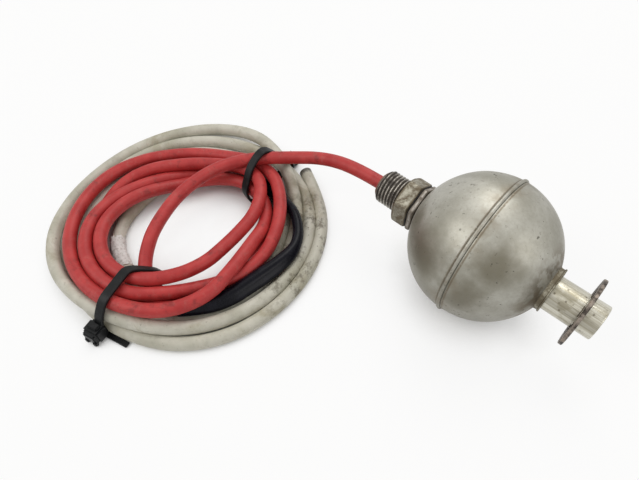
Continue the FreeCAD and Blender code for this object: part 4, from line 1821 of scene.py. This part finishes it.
@dataclass
class CableTie:
    """Nylon tie: a strap hugging the bundle, a moulded head and a cut tail."""

    name: str
    angle_deg: float
    layout: CoilLayout
    strands: Sequence[Sequence[Vector]]
    node: str
    width: float = 0.0036
    thick: float = 0.0011
    slack: float = 0.0008
    edge_ease: float = 0.00025
    cable_gap: float = 0.0001
    lowest: float = 0.0006
    hole_r: float = 0.012
    loop_step: float = 0.0018

    def __post_init__(self) -> None:
        """Set up the tie's plane: its foot at the coil's centre, outwards and along the turns."""
        angle = math.radians(self.angle_deg)
        self.out = Vector((math.cos(angle), math.sin(angle), 0.0))
        self.along = Vector((-math.sin(angle), math.cos(angle), 0.0))
        self.centre = Vector((self.layout.centre[0], self.layout.centre[1], 0.0))

    def build(self) -> bpy.types.Object:
        """Make the tie round whatever strands cross its plane.

        Returns:
            The tie as one piece.
        """
        reach = self.layout.cable_d / 2.0 + self.thick / 2.0 + self.cable_gap
        loop = self._eased(self._hull(self._crossings(), reach + self.slack))
        verts, faces = self._band(loop)
        nylon = DullPolymer("tie_nylon", (0.005, 0.0055, 0.006), (0.014, 0.015, 0.016), 0.34,
                            420.0, 0.20)
        material = bpy.data.materials.get(nylon.name) or nylon.build()
        strap = mesh_piece(self.name, verts, faces, material, 40.0)
        join_into(strap, self.head_parts(self._head_place(loop)))
        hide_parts(self.node)
        return strap

    def _band(self, loop: Sequence[Flat]) -> tuple[list[Vector], list[Face]]:
        """Sweep the strap's section round its loop.

        Args:
            loop: Middle line of the strap, as radius and height.

        Returns:
            Vertices and faces.
        """
        half_w, half_t, bead = self.width / 2.0, self.thick / 2.0, self.edge_ease
        section = [(-half_w, -half_t), (half_w, -half_t), (half_w, half_t - bead),
                   (half_w - bead, half_t), (-half_w + bead, half_t), (-half_w, half_t - bead)]
        verts: list[Vector] = []
        for index, (r, z) in enumerate(loop):
            before, after = loop[index - 1], loop[(index + 1) % len(loop)]
            dr, dz = after[0] - before[0], after[1] - before[1]
            size = math.hypot(dr, dz) or 1.0
            for across, rise in section:
                verts.append(self.centre + self.out * (r + dz / size * rise)
                             + Vector((0.0, 0.0, z - dr / size * rise))
                             + self.along * (across + self.lean(r, z)))
        return verts, skin(len(loop), len(section), True)

    def _crossings(self) -> list[Flat]:
        """Find where each strand goes through the tie.

        Returns:
            Radius and height of each place.
        """
        spots: list[Flat] = []
        for line in self.strands:
            flat = [((place - self.centre).dot(self.out), place.z,
                     (place - self.centre).dot(self.along)) for place in line]
            past = [way - self.lean(r, z) for r, z, way in flat]
            for index in range(len(line) - 1):
                sa, sb = past[index], past[index + 1]
                if (sa <= 0.0 < sb) or (sb <= 0.0 < sa):
                    place = line[index].lerp(line[index + 1], sa / (sa - sb))
                    radius = (place - self.centre).dot(self.out)
                    if radius > self.hole_r:
                        spots.append((radius, place.z))
        return spots

    def _hull(self, spots: Sequence[Flat], reach: float) -> list[Flat]:
        """Taut loop round circles of one radius, counter-clockwise.

        Args:
            spots: Middles of the circles, as radius and height.
            reach: Their radius.

        Returns:
            The loop, its long stretches divided.
        """
        ring = sorted({(r + reach * math.cos(a), z + reach * math.sin(a))
                       for r, z in spots for a in np.linspace(0.0, 2.0 * math.pi, 25)[:-1]})
        hull = lower_chain(ring) + lower_chain(ring[::-1])
        loop: list[Flat] = []
        for a, b in zip(hull, hull[1:] + hull[:1]):
            pieces = max(1, int(math.hypot(b[0] - a[0], b[1] - a[1]) / self.loop_step))
            loop += [(a[0] + (b[0] - a[0]) * k / pieces, a[1] + (b[1] - a[1]) * k / pieces)
                     for k in range(pieces)]
        return [(r, max(z, self.lowest)) for r, z in loop]

    def _eased(self, loop: Sequence[Flat], count: int = 132, window: int = 9) -> list[Flat]:
        """Even out a closed loop's spacing and round its corners.

        Args:
            loop: Corners as radius and height.
            count: Points in the answer.
            window: How many neighbours each point is averaged with.

        Returns:
            The rounded loop.
        """
        ring = np.array([*loop, loop[0]])
        steps = np.hypot(*np.diff(ring, axis=0).T)
        at = np.concatenate(([0.0], np.cumsum(steps)))
        even = np.linspace(0.0, at[-1], count, endpoint=False)
        points = np.column_stack([np.interp(even, at, ring[:, k]) for k in (0, 1)])
        half = window // 2
        soft = sum(np.roll(points, shift, 0) for shift in range(-half, half + 1)) / window
        return [(float(r), max(float(z), self.lowest)) for r, z in soft]

    def _head_place(self, loop: Sequence[Flat]) -> Matrix:
        """Place of the head: at the outside of the loop, on the floor.

        Args:
            loop: Middle line of the strap.

        Returns:
            The matrix that takes outwards, along and upwards into the scene.
        """
        foot = self.centre + self.out * max(r for r, _z in loop)
        return Matrix(((self.out.x, self.along.x, 0.0, foot.x),
                       (self.out.y, self.along.y, 0.0, foot.y),
                       (0.0, 0.0, 1.0, 0.0), (0.0, 0.0, 0.0, 1.0)))

    def lean(self, _radius: float, _height: float) -> float:
        """How far the strap strays from its plane, along the turns."""
        return 0.0

    def head_parts(self, _base: Matrix) -> list[bmesh.types.BMesh]:
        """Moulded head and what hangs from it."""
        return []


@dataclass
class LowerTie(CableTie):
    """Tie at the front: its strap swings sideways where it dips into the coil."""

    swing: float = 0.0086
    swing_from_r: float = 0.0370
    swing_over: float = 0.0115
    ridges: int = 9
    ridge_pitch: float = 0.0009
    strip_line: tuple[Flat, ...] = ((-114.0, 35.1), (-106.0, 34.7), (-100.0, 33.9), (-90.0, 32.8))

    def lean(self, radius: float, _height: float) -> float:
        """Sideways swing of the inner part of the strap."""
        return self.swing * smooth(clamped((self.swing_from_r - radius) / self.swing_over))

    def _strip(self) -> bmesh.types.BMesh:
        """Make the black strip on edge beside the torn tape, its end under the strap.

        Returns:
            The strip.
        """
        half_thick, half_high, middle_z, steps = 0.45, 1.6, 3.4, 13
        corners = ((-half_thick, -half_high), (half_thick, -half_high),
                   (half_thick, half_high), (-half_thick, half_high))
        angles, radii = zip(*self.strip_line)
        work = bmesh.new()
        for angle in np.linspace(angles[0], angles[-1], steps):
            radius = float(np.interp(angle, angles, radii))
            for dr, dz in corners:
                work.verts.new(self.layout.polar(float(angle), radius + dr, middle_z + dz))
        work.verts.ensure_lookup_table()
        for face in skin(steps, len(corners), False) + end_caps(steps, len(corners)):
            work.faces.new([work.verts[number] for number in face])
        return work

    def head_parts(self, base: Matrix) -> list[bmesh.types.BMesh]:
        """Make the head with two stubs below its slot, the tail under the cables, the strip.

        Args:
            base: Where the head sits.

        Returns:
            Closed parts.
        """
        boxes = [
            ((0.0014, -0.0008, 0.0044), (0.0052, 0.0066, 0.0062), 0.0007),
            ((0.0043, -0.0008, 0.0046), (0.0016, 0.0050, 0.0042), 0.0004),
            ((0.0048, -0.0026, 0.0020), (0.0016, 0.0018, 0.0026), 0.0004),
            ((0.0048, 0.0010, 0.0020), (0.0016, 0.0018, 0.0026), 0.0004),
            ((0.0012, -0.0008, 0.0079), (0.0024, 0.0044, 0.0014), 0.0004),
            ((-0.0003, 0.0060, 0.0008), (0.0022, 0.0098, 0.0010), 0.0002),
        ]
        boxes += [((-0.0003, 0.0026 + step * self.ridge_pitch, 0.0014),
                   (0.0014, 0.0004, 0.0003), 0.00005) for step in range(self.ridges)]
        return [rounded_box(*box, base) for box in boxes] + [self._strip()]


@dataclass
class UpperTie(CableTie):
    """Tie at the back: its strap leans over the lead, its head is tucked behind."""

    inner_r: float = 0.038
    inner_over: float = 0.011
    inner_shift: float = 0.0012
    inner_slope: float = 0.31
    slope_from_z: float = 0.019
    lead_r: float = 0.040
    lead_over: float = 0.006
    lead_shift: float = 0.0048
    lead_z: float = 0.002
    lead_rise: float = 0.014

    def lean(self, radius: float, height: float) -> float:
        """Slope of the strap on the inner side of the coil and over the lead.

        Args:
            radius: Distance from the coil's centre.
            height: Height over the floor.

        Returns:
            Distance along the turns.
        """
        inner = clamped((self.inner_r - radius) / self.inner_over)
        outer = clamped((radius - self.lead_r) / self.lead_over)
        raised = clamped((height - self.lead_z) / self.lead_rise)
        sloped = self.inner_shift + self.inner_slope * max(self.slope_from_z - height, 0.0)
        return -sloped * inner - self.lead_shift * smooth(outer) * raised

    def head_parts(self, base: Matrix) -> list[bmesh.types.BMesh]:
        """Make the head, standing on the floor beside the coil.

        Args:
            base: Where the head sits.

        Returns:
            Closed parts.
        """
        boxes = [
            ((0.0018, 0.0022, 0.0030), (0.0046, 0.0062, 0.0048), 0.0007),
            ((0.0043, 0.0022, 0.0029), (0.0012, 0.0046, 0.0032), 0.0004),
            ((0.0018, 0.0022, 0.0057), (0.0022, 0.0042, 0.0010), 0.0004),
        ]
        return [rounded_box(*box, base) for box in boxes]


@dataclass
class FrayedWrap:
    """Torn white tape round the innermost grey turn."""

    line: Sequence[Vector]
    layout: CoilLayout
    start_deg: float = 238.0
    end_deg: float = 268.0
    wall: float = 0.00035
    around: int = 40
    crumple: float = 0.00030
    crease: float = 0.00012
    tears: Flat = (0.0022, 0.0010)
    off_floor: float = 0.0003
    bite: float = 0.0002
    seed: int = 11

    def build(self) -> bpy.types.Object:
        """Make the tape as a ragged tube over the cable.

        Returns:
            The wrap.
        """
        path = self._stretch()
        noise = np.random.default_rng(self.seed)
        cable_r = self.layout.cable_d / 2.0
        edge_a, edge_b = (self._ragged(noise, depth) for depth in self.tears)
        folds = noise.uniform(-1.0, 1.0, (len(path), self.around))
        folds = (folds + np.roll(folds, 1, 1) + np.roll(folds, 1, 0)) / 3.0
        outer: list[Vector] = []
        inner: list[Vector] = []
        for row, (place, way, side, up) in enumerate(walk_frames(path)):
            share = row / (len(path) - 1)
            for step in range(self.around):
                angle = 2.0 * math.pi * step / self.around
                out = side * math.cos(angle) + up * math.sin(angle)
                slide = (edge_a[step] * max(0.0, 1.0 - share * 3.0)
                         - edge_b[step] * max(0.0, share * 3.0 - 2.0))
                swell = (cable_r + self.wall + self.crumple * folds[row][step]
                         + self.crease * math.sin(share * 60.0 + 3 * angle))
                point = place + way * slide + out * swell
                point.z = max(point.z, self.off_floor)
                outer.append(point)
                inner.append(place + way * slide + out * (cable_r - self.bite))
        rows, ring = len(path), self.around
        faces = skin(rows, ring, False)
        offset = len(outer)
        faces += [(offset + a, offset + d, offset + c, offset + b) for a, b, c, d in faces]
        for row in (0, rows - 1):
            for step in range(ring):
                a, b = row * ring + step, row * ring + (step + 1) % ring
                faces.append((a, b, offset + b, offset + a))
        cloth = DullPolymer("torn_white_tape", (0.86, 0.85, 0.83), (0.45, 0.42, 0.38), 0.72, 900.0)
        wrap = mesh_piece("torn_wrap", outer + inner, faces, cloth.build(), 60.0)
        return wrap

    def _ragged(self, noise: np.random.Generator, depth: float) -> np.ndarray:
        """Random torn edge round the tape."""
        rough = noise.uniform(0.0, 1.0, self.around) ** 2
        return depth * (0.6 * rough + 0.4 * np.roll(rough, 1))

    def _stretch(self) -> list[Vector]:
        """Find the part of the cable that the tape covers, in its first turn.

        Returns:
            Places along it.
        """
        cx, cy = self.layout.centre
        found: list[Vector] = []
        for place in self.line:
            angle = math.degrees(math.atan2(place.y - cy, place.x - cx)) % 360.0
            if self.start_deg <= angle <= self.end_deg:
                found.append(place)
            elif found:
                break
        return found


def rounded_box(middle: Point, size: Point, ease: float, place: Matrix) -> bmesh.types.BMesh:
    """Box with eased edges.

    Args:
        middle: Its middle before it is placed.
        size: Its three sizes.
        ease: How much its edges are eased.
        place: Where it goes.

    Returns:
        The box.
    """
    work = bmesh.new()
    bmesh.ops.create_cube(work, size=1.0)
    bmesh.ops.scale(work, vec=size, verts=work.verts)
    bmesh.ops.bevel(work, geom=list(work.edges), offset=ease, segments=2, affect="EDGES")
    bmesh.ops.translate(work, vec=middle, verts=work.verts)
    work.transform(place)
    return work


def join_into(piece: bpy.types.Object, parts: Sequence[bmesh.types.BMesh]) -> None:
    """Add closed parts to a piece's mesh, in its own finish.

    Args:
        piece: The piece.
        parts: What is added; they are used up.
    """
    work = bmesh.new()
    work.from_mesh(piece.data)
    for part in parts:
        bmesh.ops.recalc_face_normals(part, faces=part.faces)
        spare = bpy.data.meshes.new("spare")
        part.to_mesh(spare)
        part.free()
        work.from_mesh(spare)
        bpy.data.meshes.remove(spare)
    shade(work, 35.0)
    work.to_mesh(piece.data)
    work.free()


@dataclass
class Resin:
    """Brown potting resin that wells up round the cable at the nipple's mouth."""

    places: SwitchPlaces
    mouth_r: float = 0.0045
    rim_r: float = 0.0006
    swell: float = 0.00025

    def build(self) -> list[bpy.types.Object]:
        """Make the visible plug of resin.

        Returns:
            The resin, standing for the whole potting.
        """
        p = self.places
        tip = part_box("potting_resin")[0][0]
        rim_x = p.nipple_x - 0.0002
        rim = arc(rim_x, self.mouth_r + 0.0001, self.rim_r, 90.0, 150.0, 4)
        profile = [
            (p.flange_end_x, 0.0), (p.flange_end_x, self.mouth_r), (p.nipple_x, self.mouth_r),
            *rim, (tip + 0.0005, 0.0040), (tip + 0.0001, 0.0033), (tip, 0.0028), (tip, 0.0),
        ]
        resin = DullPolymer("potting_resin", (0.16, 0.085, 0.05), (0.30, 0.18, 0.11), 0.32, 380.0)
        plug = lathe("resin_plug", profile, p.axis_z, resin.build(), 72, 45.0)
        for vert in plug.data.vertices:
            if vert.co.x < rim_x:
                wave = math.sin(vert.co.y * 900.0) * math.cos(vert.co.z * 700.0)
                vert.co.x -= self.swell * (0.5 + 0.5 * wave)
        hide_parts("potting_resin")
        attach(plug, "switch")
        return [plug]


# ---- inside pieces
@dataclass(frozen=True)
class SealedPieces:
    """Solids that the float, the stem and the resin close in."""

    retainer: PlainMetal = PlainMetal("retainer_steel", (0.5, 0.5, 0.5), 0.95, 0.3)
    blade: PlainMetal = PlainMetal("blade_steel", (0.62, 0.58, 0.5), 1.0, 0.25)
    crimp: PlainMetal = PlainMetal("tinned_crimp", (0.70, 0.66, 0.55), 1.0, 0.3)

    def finishes(self) -> dict[str, PlainMetal]:
        """List the solids with the finish of each.

        Returns:
            The finishes by solid.
        """
        return {
            "stem_end_plug": PlainMetal("end_plug_steel", (0.55, 0.53, 0.46), 0.95, 0.28),
            "float_magnet": PlainMetal("ferrite", (0.06, 0.06, 0.065), 0.1, 0.55),
            "magnet_retainer_thread_side": self.retainer,
            "magnet_retainer_tip_side": self.retainer,
            "reed_glass": PlainMetal("capsule_glass", (0.72, 0.82, 0.74), 0.0, 0.08, 0.45),
            "reed_blade_thread_side": self.blade,
            "reed_blade_tip_side": self.blade,
            "reed_carrier": PlainMetal("carrier_board", (0.30, 0.38, 0.20), 0.0, 0.5),
            "core_wire_near": PlainMetal("core_jacket_brown", (0.25, 0.12, 0.06), 0.0, 0.45),
            "core_wire_far": PlainMetal("core_jacket_blue", (0.08, 0.16, 0.42), 0.0, 0.45),
            "crimp_near": self.crimp,
            "crimp_far": self.crimp,
        }

    def build(self) -> list[bpy.types.Object]:
        """Dress the solids.

        Returns:
            The solids that were dressed.
        """
        dressed = []
        for node, finish in self.finishes().items():
            material = bpy.data.materials.get(finish.name) or finish.build()
            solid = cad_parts[node]
            if not solid.material_slots:
                solid.data.materials.append(material)
            for slot in solid.material_slots:
                slot.material = material
            dressed.append(solid)
        return dressed


# ---- studio
def looked_at(tree: bpy.types.NodeTree) -> Term:
    """Tell rays that show the surface, straight or by mirror or glass, from those that light.

    Args:
        tree: The node tree that asks.

    Returns:
        1 for a ray that shows the surface and 0 for one that carries light from it.
    """
    way = tree.nodes.new("ShaderNodeLightPath")
    rays = [Term(tree, way.outputs[f"Is {kind} Ray"])
            for kind in ("Camera", "Glossy", "Transmission")]
    return (rays[0] + rays[1] + rays[2]).least(1.0)


@dataclass
class Studio:
    """Pale floor, soft lamps and the camera."""

    eye: Point = (0.0291, -0.1169, 0.1815)
    lens: float = 30.4
    sensor: float = 36.0
    elevation_deg: float = 54.9
    azimuth_deg: float = 42.0
    floor_half: float = 3.0
    shadow_reach: float = 0.022
    aim: Point = (-0.04, -0.02, 0.02)
    lamps: tuple[tuple[str, Point, float, float], ...] = (
        ("key", (-0.25, 0.45, 0.80), 0.55, 3.4),
        ("fill", (-0.45, -0.55, 0.70), 0.50, 2.6),
        ("side", (0.75, 0.05, 0.55), 0.40, 1.4),
    )
    lamp_colour: Colour = (1.0, 0.985, 0.96)
    floor_colour: Colour = (0.86, 0.86, 0.85)
    sky: Colour = (1.0, 0.995, 0.98)

    def build(self) -> None:
        """Set up the floor, light and camera."""
        bpy.context.scene.view_settings.view_transform = "Standard"
        self._floor()
        self._world()
        for name, place, size, power in self.lamps:
            self._lamp(name, place, size, power)
        self._camera()

    def _floor(self) -> None:
        """Lay wide pale ground that stays white where nothing stands near."""
        half = self.floor_half
        verts = [(-half, -half, 0.0), (half, -half, 0.0), (half, half, 0.0), (-half, half, 0.0)]
        paint = Paint("pale_floor")
        seen = looked_at(paint.tree)
        paint.start(self.floor_colour)
        paint.finish(Roughness=0.9)
        shine = paint.node("ShaderNodeEmission", {}, {"Color": (1.0, 1.0, 1.0), "Strength": 1.0})
        nearby = paint.node("ShaderNodeAmbientOcclusion", {"samples": 8},
                            {"Distance": self.shadow_reach})
        open_share = Term(paint.tree, nearby.outputs["AO"]).between(0.18, 0.80)
        blend = paint.node("ShaderNodeMixShader", {}, {
            0: seen * (open_share * 0.86), 1: paint.shader.outputs[0], 2: shine.outputs[0]})
        output = paint.tree.nodes["Material Output"]
        paint.tree.links.new(blend.outputs[0], output.inputs["Surface"])
        mesh_piece("floor", verts, [(0, 1, 2, 3)], paint.material)

    def _world(self) -> None:
        """Set even pale surroundings that light less than they show."""
        world = bpy.data.worlds.new("studio")
        bpy.context.scene.world = world
        world.use_nodes = True
        tree = world.node_tree
        back = tree.nodes["Background"]
        back.inputs["Color"].default_value = (*self.sky, 1.0)
        strength = 0.40 + looked_at(tree) * 0.60
        tree.links.new(strength.socket, back.inputs["Strength"])

    def _lamp(self, name: str, place: Point, size: float, power: float) -> None:
        """Hang a square soft lamp, aimed at the object.

        Args:
            name: The lamp's name.
            place: Where it hangs.
            size: Its side in metres.
            power: Its power in watts.
        """
        data = bpy.data.lights.new(name, "AREA")
        data.size = size
        data.energy = power
        data.color = self.lamp_colour
        lamp = placed(name, data)
        lamp.location = place
        way = Vector(self.aim) - Vector(place)
        lamp.rotation_euler = way.to_track_quat("-Z", "Y").to_euler()

    def _camera(self) -> None:
        """Set the camera above and in front of the object, close to it."""
        data = bpy.data.cameras.new("view")
        data.lens = self.lens
        data.sensor_width = self.sensor
        data.clip_start = 0.01
        camera = placed("view", data)
        camera.location = self.eye
        tilt = math.radians(90.0 - self.elevation_deg)
        camera.rotation_euler = (tilt, 0.0, math.radians(self.azimuth_deg))
        bpy.context.scene.camera = camera


def main() -> None:
    """Build the switch, its cable and the studio."""
    logging.basicConfig(level=logging.INFO)
    places = SwitchPlaces.read()
    Studio().build()
    builders = (
        CableSet(CoilLayout(places)), ThreadedFitting(places), NutAndGasket(places),
        Stem(places), Clip(places), BallFloat(places), Resin(places), SealedPieces(),
    )
    for builder in builders:
        for piece in builder.build():
            LOG.info("%s: %s", type(builder).__name__, piece.name)


if __name__ == "__main__":
    main()
